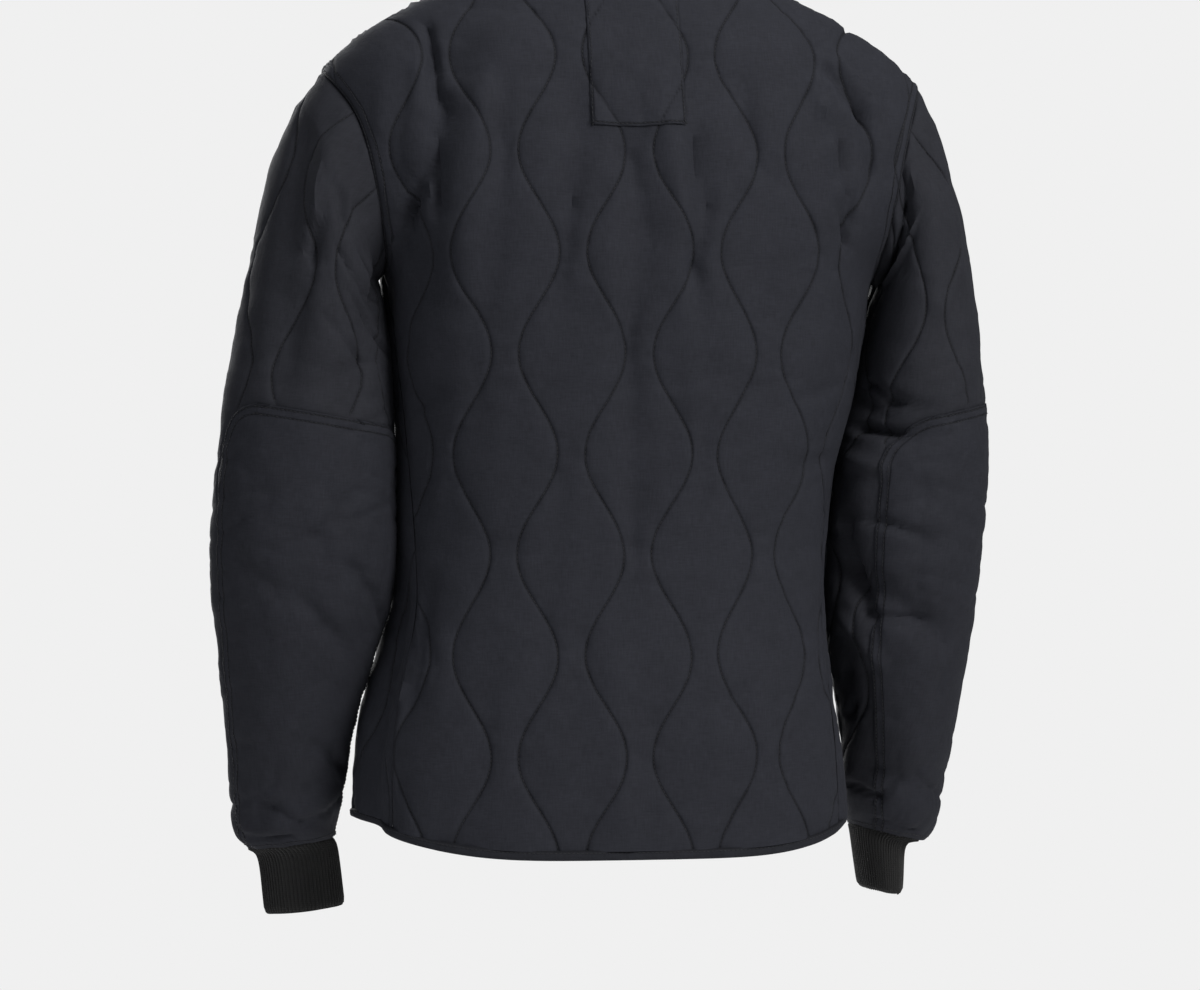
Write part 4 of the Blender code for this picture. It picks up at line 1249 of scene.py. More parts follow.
def thread_material(name, colour, finish):
    """Sewing thread with the twist of its plies."""
    material, tree, shader = new_material(name)
    place = tree.nodes.new("ShaderNodeTexCoord").outputs["Object"]
    washed = placed(tree, handling_group(), Place=place, Size=3.0)
    tone = plus(tree, times(tree, washed.outputs["Mottle"], 0.6), 0.7)
    roughness = math_node(tree, "MULTIPLY_ADD", washed.outputs["Crush"], 0.2, 0.55)
    twist = tree.nodes.new("ShaderNodeTexWave")
    twist.inputs["Scale"].default_value = 900.0
    tree.links.new(place, twist.inputs["Vector"])
    dark = tuple(value * 0.6 for value in colour)
    shaded(tree, shader, colour, dark, twist.outputs["Fac"], tone, roughness,
           twist.outputs["Fac"], 0.3, 0.0002)
    shader.inputs["Specular IOR Level"].default_value = finish.sheen_of_thread
    return material


def snap_material(name, colour):
    """Dark oxidised metal with fine rubbing."""
    material, tree, shader = new_material(name)
    place = tree.nodes.new("ShaderNodeTexCoord").outputs["Object"]
    washed = placed(tree, handling_group(), Place=place, Size=4.0)
    tone = plus(tree, times(tree, washed.outputs["Mottle"], 0.8), 0.6)
    roughness = math_node(tree, "MULTIPLY_ADD", washed.outputs["Crush"], 0.25, 0.24)
    rubbed = math_node(tree, "GREATER_THAN", washed.outputs["Crush"], 0.66)
    light = tuple(min(1.0, value * 1.6) for value in colour)
    shaded(tree, shader, colour, light, rubbed, tone, roughness, washed.outputs["Crush"],
           0.15, 0.0003)
    shader.inputs["Metallic"].default_value = 1.0
    return material


def material_of(name):
    """A finish by name, made the first time that it is asked for."""
    if f"jacket_{name}" in bpy.data.materials:
        return bpy.data.materials[f"jacket_{name}"]
    finish = bpy.context.scene.jacket_finish
    full = f"jacket_{name}"
    topstitched = (0.0022, 0.0082)
    if name == "body":
        return cloth_material(full, finish.cloth, True, topstitched, finish)
    if name == "sleeve":
        return cloth_material(full, finish.sleeve, True, (), finish)
    if name == "overlay":
        return cloth_material(full, finish.overlay, False, topstitched, finish)
    if name == "patch":
        return cloth_material(full, finish.cloth, True, (0.0022,), finish)
    if name == "tape":
        return cloth_material(full, finish.tape, False, (), finish)
    if name == "knit":
        return knit_material(full, finish.knit, finish)
    if name == "thread":
        return thread_material(full, finish.thread, finish)
    return snap_material(full, finish.snap)


# ---------------------------------------------------------------- settings


def metres(name, description, default):
    return bpy.props.FloatProperty(
        name=name, description=description, default=default, unit="LENGTH", precision=5, min=0.0
    )


def tint(name, description, default):
    return bpy.props.FloatVectorProperty(
        name=name, description=description, default=default, subtype="COLOR", size=3,
        min=0.0, max=1.0,
    )


def amount(name, description, default, most=1.0):
    return bpy.props.FloatProperty(
        name=name, description=description, default=default, min=0.0, max=most
    )


class JacketQuilting(bpy.types.PropertyGroup):
    """Sizes of the quilting and of the cloth's wrinkling."""

    spacing: metres("Line spacing", "Mean distance between two quilting lines", 0.0525)
    wave: metres("Wave length", "Length of one whole wave of a line", 0.1555)
    swing: metres("Wave swing", "How far a line swings to each side", 0.0157)
    furrow: metres("Furrow depth", "How deep the stitching pulls the cloth in", 0.0013)
    furrow_width: metres("Furrow width", "Half width of the pulled-in line", 0.0017)
    pad: metres("Padding", "How far the padding stands out between lines", 0.0017)
    pucker: metres("Puckers", "Height of the small puckers beside a line", 0.00070)
    crumple: metres("Crumple", "Height of the cloth's soft wrinkling", 0.00135)


class JacketSewing(bpy.types.PropertyGroup):
    """Sizes of the stitches and ribs."""

    pitch: metres("Stitch pitch", "Distance from one stitch to the next", 0.0034)
    stitch: metres("Stitch length", "Length of the thread that shows", 0.0027)
    thread: metres("Thread", "Thickness of the thread", 0.0006)
    row_in: metres("First row", "Distance of topstitching from its seam", 0.0022)
    row_out: metres("Second row", "Distance of the second row from the seam", 0.0082)
    rib: metres("Rib radius", "Radius of one rib of the knitted cuffs", 0.0012)
    ribs: bpy.props.IntProperty(
        name="Ribs", description="Number of ribs round one cuff", default=64, min=12
    )


class JacketFinish(bpy.types.PropertyGroup):
    """Colours and surface of the materials."""

    cloth: tint("Body cloth", "Colour of the quilted body", (0.0150, 0.0158, 0.0206))
    sleeve: tint("Sleeve cloth", "Colour of the quilted sleeves", (0.0148, 0.0154, 0.0195))
    overlay: tint("Elbow panels", "Colour of the plain panels", (0.0142, 0.0149, 0.0194))
    tape: tint("Tape", "Colour of the binding tape", (0.0128, 0.0134, 0.0170))
    knit: tint("Cuffs", "Colour of the knitted cuffs", (0.0125, 0.0125, 0.0128))
    thread: tint("Thread", "Colour of the sewing thread", (0.0096, 0.0100, 0.0125))
    snap: tint("Snaps", "Colour of the snap caps", (0.045, 0.045, 0.050))
    roughness: amount("Roughness", "Roughness of the cloth", 0.82)
    relief: amount("Relief", "Strength of the weave and crush", 0.55)
    slub: amount("Slubs", "Unevenness of the weave's threads", 0.9)
    sheen_of_thread: amount("Thread shine", "Specular level of the thread", 0.3)


class JacketStage(bpy.types.PropertyGroup):
    """Camera, floor and lights."""

    target: bpy.props.FloatVectorProperty(
        name="Target", description="Point that the camera looks at",
        default=(0.0100, 0.0, -0.428), subtype="TRANSLATION", size=3,
    )
    azimuth: bpy.props.FloatProperty(
        name="Azimuth", description="Where the camera stands round the jacket, 0 in front",
        default=math.radians(170.0), subtype="ANGLE",
    )
    distance: metres("Distance", "How far the camera stands from its target", 3.0)
    lens: bpy.props.FloatProperty(
        name="Lens", description="Focal length in millimetres", default=112.5, min=1.0
    )
    floor: bpy.props.FloatProperty(
        name="Floor", description="Height of the floor below the neck", default=-1.45,
        unit="LENGTH",
    )
    key: amount("Key light", "Power of the large key light in watts", 118.0, 2000.0)
    fill: amount("Fill light", "Power of the fill light in watts", 30.0, 2000.0)
    top: amount("Top light", "Power of the overhead light in watts", 34.0, 2000.0)
    room: amount("Room light", "Strength of the light from all round", 0.14, 10.0)


# ---------------------------------------------------------------- panels


def body_sheet(turn_lo, turn_hi, centre, sign):
    """Place function of a body panel: dense turns, metres across from its centre, heights."""
    tip = np.linspace(turn_lo(TIP_ROW), turn_hi(TIP_ROW), DENSE)
    tip_points = body_base(tip * sign, TIP_ROW)
    tip_u = arc_from(tip_points, tip, centre)
    order = np.argsort(tip_points[:, 0] * sign_of_x(centre, sign))
    tip_x = (tip_points[:, 0] * sign_of_x(centre, sign))[order]

    def place(row):
        turns = np.linspace(turn_lo(row), turn_hi(row), DENSE)
        points = body_base(turns * sign, row)
        if row < TIP_ROW:
            return turns, arc_from(points, turns, centre), points[:, 2]
        x = points[:, 0] * sign_of_x(centre, sign)
        u = np.interp(x, tip_x, tip_u[order])
        tip_y = np.interp(x, tip_x, tip_points[order, 1])
        tip_z = np.interp(x, tip_x, tip_points[order, 2])
        rise = np.hypot(points[:, 2] - tip_z, points[:, 1] - tip_y)
        u = np.maximum.accumulate(u + np.arange(DENSE) * 1e-9)
        return turns, u, tip_z + rise * np.sign(points[:, 2] - tip_z + 1e-9)

    return place


def sign_of_x(centre, sign):
    """Whether x grows with the turn: it does on the back, and falls towards the centre front."""
    return sign if centre == 0.0 else -sign


def arc_from(points, turns, centre):
    """Metres along a row from the point nearest a centre turn."""
    lengths = np.concatenate(([0.0], np.cumsum(np.linalg.norm(np.diff(points, axis=0), axis=1))))
    return lengths - np.interp(centre, turns, lengths)


def edge_gap(row):
    """Degrees that half a seam gap takes at the side of a row."""
    return np.degrees(SEAM_GAP / 2 / along(BODY_CURVES["right"], row))


def front_edge(row):
    return 180.0 + np.degrees(OVERLAP / along(BODY_CURVES["front"], row))


def front_tape(row):
    return front_edge(row) - np.degrees(TAPE_WIDTH / along(BODY_CURVES["front"], row))


def body_panel(columns, sign, back, creases, crest, seed, quilt, edges, mirror=1.0):
    """Outer and inner grids of a quilted body panel with its seam distances."""
    turn, row = columns["turn"] * sign, columns["row"]
    base, normal = body_base(turn, row), body_normal(turn, row)
    for side, key in (("left", "high"), ("right", "low")):
        if not back:
            if SIDES[side] != sign:
                continue
            key = "low"
        rows = row[:, 0]
        on = (rows >= UNDERARM_ROW) & (rows <= TIP_ROW)
        mitre = mitre_normal(side, armhole_angle(rows, back))
        edge_u = columns["u"][np.arange(len(rows)), columns[key]]
        share = 1 - smooth_step(np.abs(columns["u"] - edge_u[:, None]), 0.0, 0.012)
        share = share * on[:, None]
        normal = unit(normal * (1 - share[..., None]) + mitre[:, None, :] * share[..., None])
    lift = body_drop(turn, base)
    form = base + normal * lift[..., None]
    seams = [grid_edge(form, columns, which) for which in edges]
    seam = far_from(form, seams)
    height, line = quilt_height(columns["u"] * mirror, columns["v"], quilt, crest, seed)
    calm = smooth_step(seam, 0.0, 0.010)
    soft = fold_height(creases, columns["u"] * mirror, columns["v"])
    soft = soft * smooth_step(seam, -0.006, 0.014)
    rough = crumple_height(columns["u"], columns["v"], quilt, seed) * (0.15 + 0.85 * calm)
    press = body_press(columns["turn"], base[..., 2])
    rough = rough * (1 - 0.7 * press) + BODY_PRESS * press
    on_arm = beside_armhole(row)
    total = height * calm + rough + soft + edge_height(seam, on_arm)
    outer = form + normal * total[..., None]
    thickness = QUILT_WALL - 0.0006 + 0.35 * np.maximum(height * calm, -0.0008)
    slant = np.exp(-seam / 0.003) * (1 - on_arm) * SEAM_SLANT
    slant = slant * (np.sign(columns["u"]) if back else 1.0)
    along_row = unit(np.gradient(form, axis=1))
    inner = form + normal * (rough + soft - 0.0004 - thickness)[..., None]
    inner = inner + along_row * slant[..., None]
    return {
        "outer": outer, "inner": inner, "normal": normal, "seam": seam, "line": line,
        "columns": columns, "sewn": on_arm,
    }


def finished_panel(panel, name, node, material, slot, flat, area, with_pieces=()):
    """Turn a panel's grids into its piece, hide the frame part that it replaces and attach the piece
    to the body.
    """
    columns = panel["columns"]
    fields = {
        "edge_distance": panel["seam"],
        "line_distance": panel["line"],
        "topstitched": panel.get("sewn", np.ones(panel["seam"].shape)),
    }
    uv = np.stack([columns["u"], columns["v"]], axis=-1)
    piece = wall_object(name, panel["outer"], panel["inner"], columns, fields, uv, material)
    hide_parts(node)
    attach(piece, BODY_NAME)
    return piece


def quilting_lines(panel, lift=0.0002, margin=0.006):
    """The quilting lines on a panel's outer face, broken where they meet its edges."""
    columns, lines = panel["columns"], []
    whole = np.nonzero(np.abs(columns["wanted"] - np.round(columns["wanted"])) < 1e-9)[0]
    for column in whole:
        inside = (column > columns["low"]) & (column < columns["high"])
        inside &= panel["seam"][:, column] > margin
        run = []
        for index in range(len(inside)):
            if inside[index]:
                run.append(index)
            if run and (not inside[index] or index == len(inside) - 1):
                if len(run) > 4:
                    points = panel["outer"][run, column] + panel["normal"][run, column] * lift
                    lines.append((points, panel["normal"][run, column]))
                run = []
    return lines


def edge_rows(panel, tree, which, distances, first=0, last=None, lift=0.00025):
    """Rows of topstitching beside one edge of a panel."""
    columns = panel["columns"]
    line = grid_edge(panel["outer"], columns, which)[first:last]
    normals = grid_edge(panel["normal"], columns, which)[first:last]
    gaps = np.concatenate(([True], np.linalg.norm(np.diff(line, axis=0), axis=1) > 2e-5))
    line, normals = line[gaps], normals[gaps]
    middle = panel["outer"].shape[1] // 2
    if which in ("low", "high"):
        rows = np.arange(len(panel["outer"]))[first:last][gaps]
        centre = panel["outer"][rows, middle]
    else:
        centre = np.repeat(panel["outer"][len(panel["outer"]) // 2, middle][None], len(line), 0)
    inward = inward_of(line, normals, centre)
    result = []
    for distance in distances:
        points, outs = laid_row(tree, normals, line, inward, distance)
        result.append((points + outs * lift, outs))
    return result


def back_limit(row):
    return float(panel_edge(np.array(row), True) - edge_gap(row))


def back_place():
    return body_sheet(lambda row: -back_limit(row), back_limit, 0.0, 1.0)


def armhole_stitching(panel, tree, edges, sewing):
    """Two rows of topstitching beside the armholes of a panel."""
    rows = panel["columns"]["row"][:, 0]
    first = int(np.searchsorted(rows, UNDERARM_ROW)) + 1
    last = int(np.searchsorted(rows, TIP_ROW)) - 1
    lines = []
    for which in edges:
        lines += edge_rows(panel, tree, which, (sewing.row_in, sewing.row_out), first, last)
    return lines


def overlay_columns(place, rows, turns_at):
    """Straight columns of an overlay, placed on the panel under it."""
    turn, across, height = [], [], []
    for number, row in enumerate(rows):
        t, u, v = place(row)
        at = turns_at(number, row, t)
        turn.append(at)
        across.append(np.interp(at, t, u))
        height.append(np.interp(at, t, v))
    return plain_columns(np.array(turn), rows, np.array(across), np.array(height))


class JACKET_OT_back(bpy.types.Operator):
    """Build the quilted back with its quilting and armhole topstitching"""

    bl_idname = "jacket.back"
    bl_label = "Back"

    def execute(self, context):
        quilt, sewing = context.scene.jacket_quilting, context.scene.jacket_sewing
        columns = wave_columns(body_rows(), back_place(), quilt, BACK_CREST)
        sides = ("low", "high")
        panel = body_panel(
            columns, 1.0, True, BACK_CREASES, BACK_CREST, BACK_SEED, quilt, sides
        )
        tree = outer_tree(panel["outer"], columns)
        quilting = stitched("back_quilting", quilting_lines(panel), sewing)
        arm = armhole_stitching(panel, tree, sides, sewing)
        topstitch = stitched("back_topstitch", arm, sewing)
        finished_panel(
            panel, "back_cloth", "back", material_of("body"), "quilted_cloth", *CUTS["back"],
            (quilting, topstitch, *tapes_of("hem_tape", "neck_tape")),
        )
        return {"FINISHED"}


class JACKET_OT_neck_patch(bpy.types.Operator):
    """Lay the patch on the upper back, over the back's own padding"""

    bl_idname = "jacket.neck_patch"
    bl_label = "Neck patch"

    def execute(self, context):
        quilt, sewing = context.scene.jacket_quilting, context.scene.jacket_sewing
        bottom = float(np.interp(PATCH_BOTTOM + 0.006, BACK_HEIGHTS, SIDE_ROWS))
        breaks = (bottom, TIP_ROW, 13, 14, 15, NECK_TAPE_ROW)
        rows = np.array(fine_rows(lambda row: body_base(0.0, row), breaks))
        x = np.linspace(-PATCH_WIDTH / 2, PATCH_WIDTH / 2, 33)
        columns = overlay_columns(
            back_place(), rows, lambda _, row, t: np.interp(x, body_base(t, row)[:, 0], t)
        )
        turn, row, u, v = (columns[key] for key in ("turn", "row", "u", "v"))
        base, normal = body_base(turn, row), body_normal(turn, row)
        form = base + normal * body_drop(turn, base)[..., None]
        sides = ("low", "high", "bottom")
        seam = far_from(form, [grid_edge(form, columns, which) for which in sides])
        height, line = quilt_height(u, v, quilt, BACK_CREST, BACK_SEED)
        soft = fold_height(BACK_CREASES, u, v)
        rough = crumple_height(u, v, quilt, BACK_SEED)
        own = 0.00025 * soft_noise(u / 0.006, v / 0.006, 51)
        puckers = 0.0004 * soft_noise(u / 0.0045, v / 0.02, 53) * np.exp(-seam / 0.004)
        under = height + rough + soft + OVERLAY_LIFT * 0.4
        rolled = OVERLAY_WALL * np.sqrt(1 - np.exp(-seam / 0.0005)) + own + puckers
        panel = {
            "outer": form + normal * (under + rolled)[..., None],
            "inner": form + normal * under[..., None],
            "normal": normal, "seam": seam, "line": line, "columns": columns,
            "sewn": beside_armhole(row),
        }
        tree, lines = outer_tree(panel["outer"], columns), []
        for which in sides:
            lines += edge_rows(panel, tree, which, (sewing.row_in,))
        stitches = stitched("patch_topstitch", lines, sewing)
        finished_panel(
            panel, "neck_patch_cloth", "back_neck_patch", material_of("patch"), "plain_cloth",
            *CUTS["patch"], (stitches,),
        )
        return {"FINISHED"}


class JACKET_OT_fronts(bpy.types.Operator):
    """Build the two quilted fronts"""

    bl_idname = "jacket.fronts"
    bl_label = "Fronts"

    def execute(self, context):
        quilt, sewing = context.scene.jacket_quilting, context.scene.jacket_sewing

        def low(row):
            return float(panel_edge(np.array(row), False) + edge_gap(row))

        def high(row):
            gap = np.degrees(SEAM_GAP / along(BODY_CURVES["front"], row))
            return float(front_tape(row) - gap)

        for side, sign in SIDES.items():
            place = body_sheet(low, high, 180.0, sign)
            columns = wave_columns(body_rows(), place, quilt, FRONT_CREST)
            panel = body_panel(
                columns, sign, False, FRONT_CREASES, FRONT_CREST, FRONT_SEEDS[side], quilt,
                ("low",), mirror=-1.0,
            )
            tree, name = outer_tree(panel["outer"], columns), f"front_{side}"
            lines = stitched(f"{name}_quilting", quilting_lines(panel), sewing)
            arm = armhole_stitching(panel, tree, ("low",), sewing)
            topstitch = stitched(f"{name}_topstitch", arm, sewing)
            finished_panel(
                panel, f"{name}_cloth", name, material_of("body"), "quilted_cloth",
                *CUTS["front"], (lines, topstitch, *tapes_of(f"{name}_tape")),
            )
        return {"FINISHED"}


def sleeve_rows(side, breaks):
    """Rows of a sleeve grid, evenly spaced along its back."""
    def back_line(row):
        return sleeve_base(side, np.full(np.shape(row), 90.0), row)

    return np.array(fine_rows(back_line, breaks))


def sleeve_place(side):
    """Place function of a sleeve: dense angles, metres from its outer line, heights."""

    def place(row):
        angles = np.linspace(-179.9, 179.9, DENSE)
        points = sleeve_base(side, angles, np.full(DENSE, float(row)))
        return angles, arc_from(points, angles, 0.0), points[:, 2]

    return place


def panel_inside(side, turn, row):
    """How deep inside the elbow panel's outline a place lies, in metres; below 0 is outside."""
    first, last = PANEL_SPAN[side]
    across = np.minimum(turn - first, last - turn) * ARM_DEGREE
    down = (row - PANEL_ROWS[0]) * SLEEVE_ROW_LENGTH
    in_corner = (across < PANEL_CORNER) & (down < PANEL_CORNER)
    rounded = PANEL_CORNER - np.hypot(PANEL_CORNER - across, PANEL_CORNER - down)
    return np.where(in_corner, rounded, np.minimum(across, down))


def sleeve_panel(side, columns, quilted, seed, quilt):
    """Form, normals and soft heights of the sleeve cloth at a grid's places."""
    turn, row = columns["turn"], columns["row"]
    base, normal = sleeve_base(side, turn, row), sleeve_normal(side, turn, row)
    share = (1 - smooth_step(row, 0.0, 0.3))[..., None]
    if share.max() > 0:
        normal = unit(normal * (1 - share) + mitre_normal(side, turn) * share)
    flat = (np.radians(turn) * SLEEVE_FOLD_RADIUS, row * SLEEVE_ROW_LENGTH)
    lift = fold_height(SLEEVE_FOLDS_FLAT[side], *flat) * smooth_step(row, 0.0, 0.4)
    from_seam = row * SLEEVE_ROW_LENGTH * 0.9
    to_cuff = (CUFF_SEAM_ROW - row) * 0.016 + np.maximum(12.0 - row, 0.0) * 0.02
    calm = smooth_step(from_seam, 0.0, 0.012) * smooth_step(to_cuff, -0.002, 0.010)
    soft = fold_height(SLEEVE_CREASES_FLAT[side], *flat) * smooth_step(from_seam, -0.004, 0.010)
    height, line = quilt_height(columns["u"], columns["v"], quilt, SLEEVE_CREST[side], seed)
    inside = smooth_step(panel_inside(side, turn, row), -0.004, 0.004)
    rough = crumple_height(columns["u"], columns["v"], quilt, seed + 2) * 0.85
    rough = rough + drag_height(turn, row, columns["u"], columns["v"], quilt, seed)
    press = sleeve_press(turn, row)
    rough = rough * (0.2 + 0.8 * calm) * (1 - 0.7 * press) + SLEEVE_PRESS * press
    gathers = 0.0011 * soft_noise(columns["u"] / 0.0075, row / 2.0, seed + 31)
    gathers = gathers * np.exp(-np.maximum(to_cuff, 0.0) / 0.011)
    relief = height * calm * (1 - inside) - 0.0003 * inside if quilted else 0.0 * height
    dip = edge_height(from_seam, 0.0)
    total = relief + rough + soft + gathers + dip
    form = base + normal * lift[..., None]
    return form, normal, total, rough + soft + gathers, line, inside, height * calm


class JACKET_OT_sleeves(bpy.types.Operator):
    """Build the two quilted sleeves as tubes closed by the underarm seam"""

    bl_idname = "jacket.sleeves"
    bl_label = "Sleeves"

    def execute(self, context):
        quilt, sewing = context.scene.jacket_quilting, context.scene.jacket_sewing
        for side, seed in SLEEVE_SEEDS.items():
            rows = sleeve_rows(side, (0.010, *range(1, 13), CUFF_SEAM_ROW - 0.008))
            columns = wave_columns(rows, sleeve_place(side), quilt, SLEEVE_CREST[side])
            form, normal, total, under, line, inside, height = sleeve_panel(
                side, columns, True, seed, quilt
            )
            seam = far_from(form, [grid_edge(form, columns, which) for which in ("bottom", "top")])
            thickness = QUILT_WALL - 0.0004 + 0.35 * np.maximum(height, -0.0008)
            panel = {
                "outer": form + normal * total[..., None],
                "inner": form + normal * (under - thickness)[..., None],
                "normal": normal, "seam": seam, "columns": columns,
                "line": line + inside * 0.05, "sewn": np.zeros(seam.shape),
            }
            lines = quilting_lines({**panel, "seam": np.where(inside > 0.3, 0.0, seam)})
            quilting = stitched(f"sleeve_{side}_quilting", lines, sewing)
            tree = outer_tree(panel["outer"], columns)
            cuff = edge_rows(panel, tree, "top", (0.0040,))
            topstitch = stitched(f"sleeve_{side}_topstitch", cuff, sewing)
            finished_panel(
                panel, f"sleeve_{side}_cloth", f"sleeve_{side}", material_of("sleeve"),
                "quilted_cloth", *CUTS["sleeve"], (quilting, topstitch),
            )
        return {"FINISHED"}


class JACKET_OT_elbow_panels(bpy.types.Operator):
    """Lay the plain elbow panels on the lower sleeves"""

    bl_idname = "jacket.elbow_panels"
    bl_label = "Elbow panels"

    def execute(self, context):
        quilt, sewing = context.scene.jacket_quilting, context.scene.jacket_sewing
        for side, seed in SLEEVE_SEEDS.items():
            first, last = PANEL_SPAN[side]
            rows = sleeve_rows(side, (PANEL_ROWS[0], *range(6, 13), PANEL_ROWS[1]))
            down = (rows - PANEL_ROWS[0]) * SLEEVE_ROW_LENGTH
            short = np.clip(PANEL_CORNER - down, 0.0, PANEL_CORNER)
            inset = PANEL_CORNER - np.sqrt(PANEL_CORNER**2 - short**2)
            inset = np.minimum(inset, PANEL_CORNER * 0.93) / ARM_DEGREE
            share = np.linspace(0.0, 1.0, 64)[None, :]
            turn = (first + inset)[:, None] * (1 - share) + (last - inset)[:, None] * share
            columns = overlay_columns(sleeve_place(side), rows, lambda number, *_: turn[number])
            form, normal, _, under, line, _, _ = sleeve_panel(side, columns, False, seed, quilt)
            sides = ("low", "high", "bottom")
            seam = far_from(form, [grid_edge(form, columns, which) for which in sides])
            puckers = soft_noise(columns["u"] / 0.006, columns["v"] / 0.006, seed + 41)
            puckers = puckers * np.exp(-(((seam - 0.005) / 0.006) ** 2)) * 0.0005
            sunk = -0.0005 * np.exp(-(((seam - 0.0052) / 0.0022) ** 2))
            puff = 0.0005 * smooth_step(seam, 0.010, 0.028)
            rolled = OVERLAY_WALL * np.sqrt(1 - np.exp(-seam / 0.0005))
            bottom = under + OVERLAY_LIFT * 0.5
            panel = {
                "outer": form + normal * (bottom + rolled + puckers + sunk + puff)[..., None],
                "inner": form + normal * bottom[..., None],
                "normal": normal, "seam": seam, "line": line, "columns": columns,
            }
            tree, lines = outer_tree(panel["outer"], columns), []
            for which in sides:
                lines += edge_rows(panel, tree, which, (sewing.row_in, sewing.row_out))
            lines += edge_rows(panel, tree, "top", (0.0045,))
            topstitch = stitched(f"elbow_panel_{side}_topstitch", lines, sewing)
            finished_panel(
                panel, f"elbow_panel_{side}_cloth", f"elbow_panel_{side}",
                material_of("overlay"), "plain_cloth", *CUTS[f"elbow_{side}"], (topstitch,),
            )
        return {"FINISHED"}


class JACKET_OT_cuffs(bpy.types.Operator):
    """Knit the two ribbed cuffs"""

    bl_idname = "jacket.cuffs"
    bl_label = "Cuffs"

    def execute(self, context):
        sewing = context.scene.jacket_sewing
        knit = material_of("knit")
        for side in SIDES:
            rows = np.array([12.93, 13.0, 13.08, *np.linspace(13.2, 14.9, 16), 14.97, CUFF_END_ROW])
            turns = np.linspace(-180.0, 180.0, 2 * sewing.ribs + 1)[None, :]
            turn, row = np.broadcast_arrays(turns, rows[:, None])
            base, normal = sleeve_base(side, turn, row), sleeve_normal(side, turn, row)
            wave = 0.0008 * soft_noise(turn / 16.0, row * 1.3, 61)
            wave = wave * np.sin(np.radians((turn + 180.0) / 2)) ** 0.5
            tuck = -0.0022 * (1 - smooth_step(row, 12.95, 13.1))
            shape = wave + tuck - 0.0006
            end = 1 - smooth_step(row, 14.9, CUFF_END_ROW) * 0.6
            outer = base + normal * (shape - 0.0015 * (1 - end))[..., None]
            inner = base + normal * (shape - RIB_WALL * end - 0.0012 * (1 - end))[..., None]
            arc = np.radians(turn) * 0.033
            columns = plain_columns(turns, rows, arc, base[..., 2])
            fields = {"edge_distance": np.full(turn.shape, 0.02)}
            uv = np.stack([arc, base[..., 2]], axis=-1)
            piece = wall_object(f"cuff_{side}_knit", outer, inner, columns, fields, uv, knit)
            lines = []
            for rib in range(sewing.ribs):
                column = 2 * rib + 1
                outside = outer[:, column] - normal[:, column] * sewing.rib * 0.25
                inside = (inner[:, column] + normal[:, column] * sewing.rib * 0.25)[-6:-1][::-1]
                tip = (outer[-1, column] + inner[-1, column]) / 2
                below = outer[-1, column] - outer[-3, column]
                tip = tip + below / np.linalg.norm(below) * 0.0004
                points = np.concatenate([outside[:-1], tip[None], inside])
                lines.append((points, np.repeat(normal[:1, column], len(points), 0)))
            ribs = grown(
                f"cuff_{side}_ribs", lines, rib_tree(),
                {"Radius": sewing.rib, "Step": 0.004, "Knit": knit}, knit,
            )
            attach(ribs, BODY_NAME)
            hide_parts(f"cuff_{side}")
            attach(piece, BODY_NAME)
        return {"FINISHED"}


TAPE_PROFILE = (
    # share of the tape's width from its open edge to the fold, metres out from the cloth's face
    (0.00, 0.0006), (0.10, 0.0011), (0.35, 0.0013), (0.62, 0.0013), (0.84, 0.0009),
    (0.96, 0.0000), (1.00, -0.0015), (0.96, -0.0030), (0.84, -0.0039), (0.62, -0.0043),
    (0.35, -0.0043), (0.10, -0.0041), (0.00, -0.0036),
)


def tape_object(name, node, point, normal, path):
    """Folded tape: its profile carried along a path of places, closed and capped."""
    shares, outs = np.array(TAPE_PROFILE).T
    count, width = len(path), len(shares)
    place = point(path[:, None], shares[None, :])
    out = normal(path[:, None], shares[None, :])
    steps = np.linalg.norm(np.diff(place[:, 0], axis=0), axis=1)
    lengths = np.concatenate(([0.0], np.cumsum(steps)))
    ripple = 0.00022 * soft_noise(lengths[:, None] / 0.0055, shares[None, :] * 1.5, len(name))
    ripple = ripple + 0.0003 * soft_noise(lengths[:, None] / 0.014, shares[None, :], len(name) + 3)
    grid = place + out * (outs[None, :] + ripple * np.where(outs > -0.0015, 1.0, -0.6))[..., None]
    ids = np.arange(count * width).reshape(count, width)
    after = np.roll(ids, -1, axis=1)
    quads = np.stack([ids[:-1], after[:-1], after[1:], ids[1:]], axis=-1).reshape(-1, 4).tolist()
    quads += [ids[0].tolist(), ids[-1][::-1].tolist()]
    across = np.repeat(np.cumsum(np.full(width, 0.0013))[None], count, 0)
    uv = np.stack([np.repeat(lengths[:, None], width, 1), across], -1).reshape(-1, 2)
    fields = {"edge_distance": np.tile(shares * 0.006, count)}
    piece = cloth_object(name, grid.reshape(-1, 3), quads, fields, uv, 60, material_of("tape"))
    line = (grid[:, 1] + grid[:, 2]) / 2 + out[:, 1] * 0.0002
    stitched(f"{name}_stitch", [(line, out[:, 1])], bpy.context.scene.jacket_sewing)
    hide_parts(node)
    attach(piece, BODY_NAME)


def tapes_of(*names):
    """The tapes sewn to a panel, with their stitches."""
    return [bpy.data.objects[name + end] for name in names for end in ("", "_stitch")]


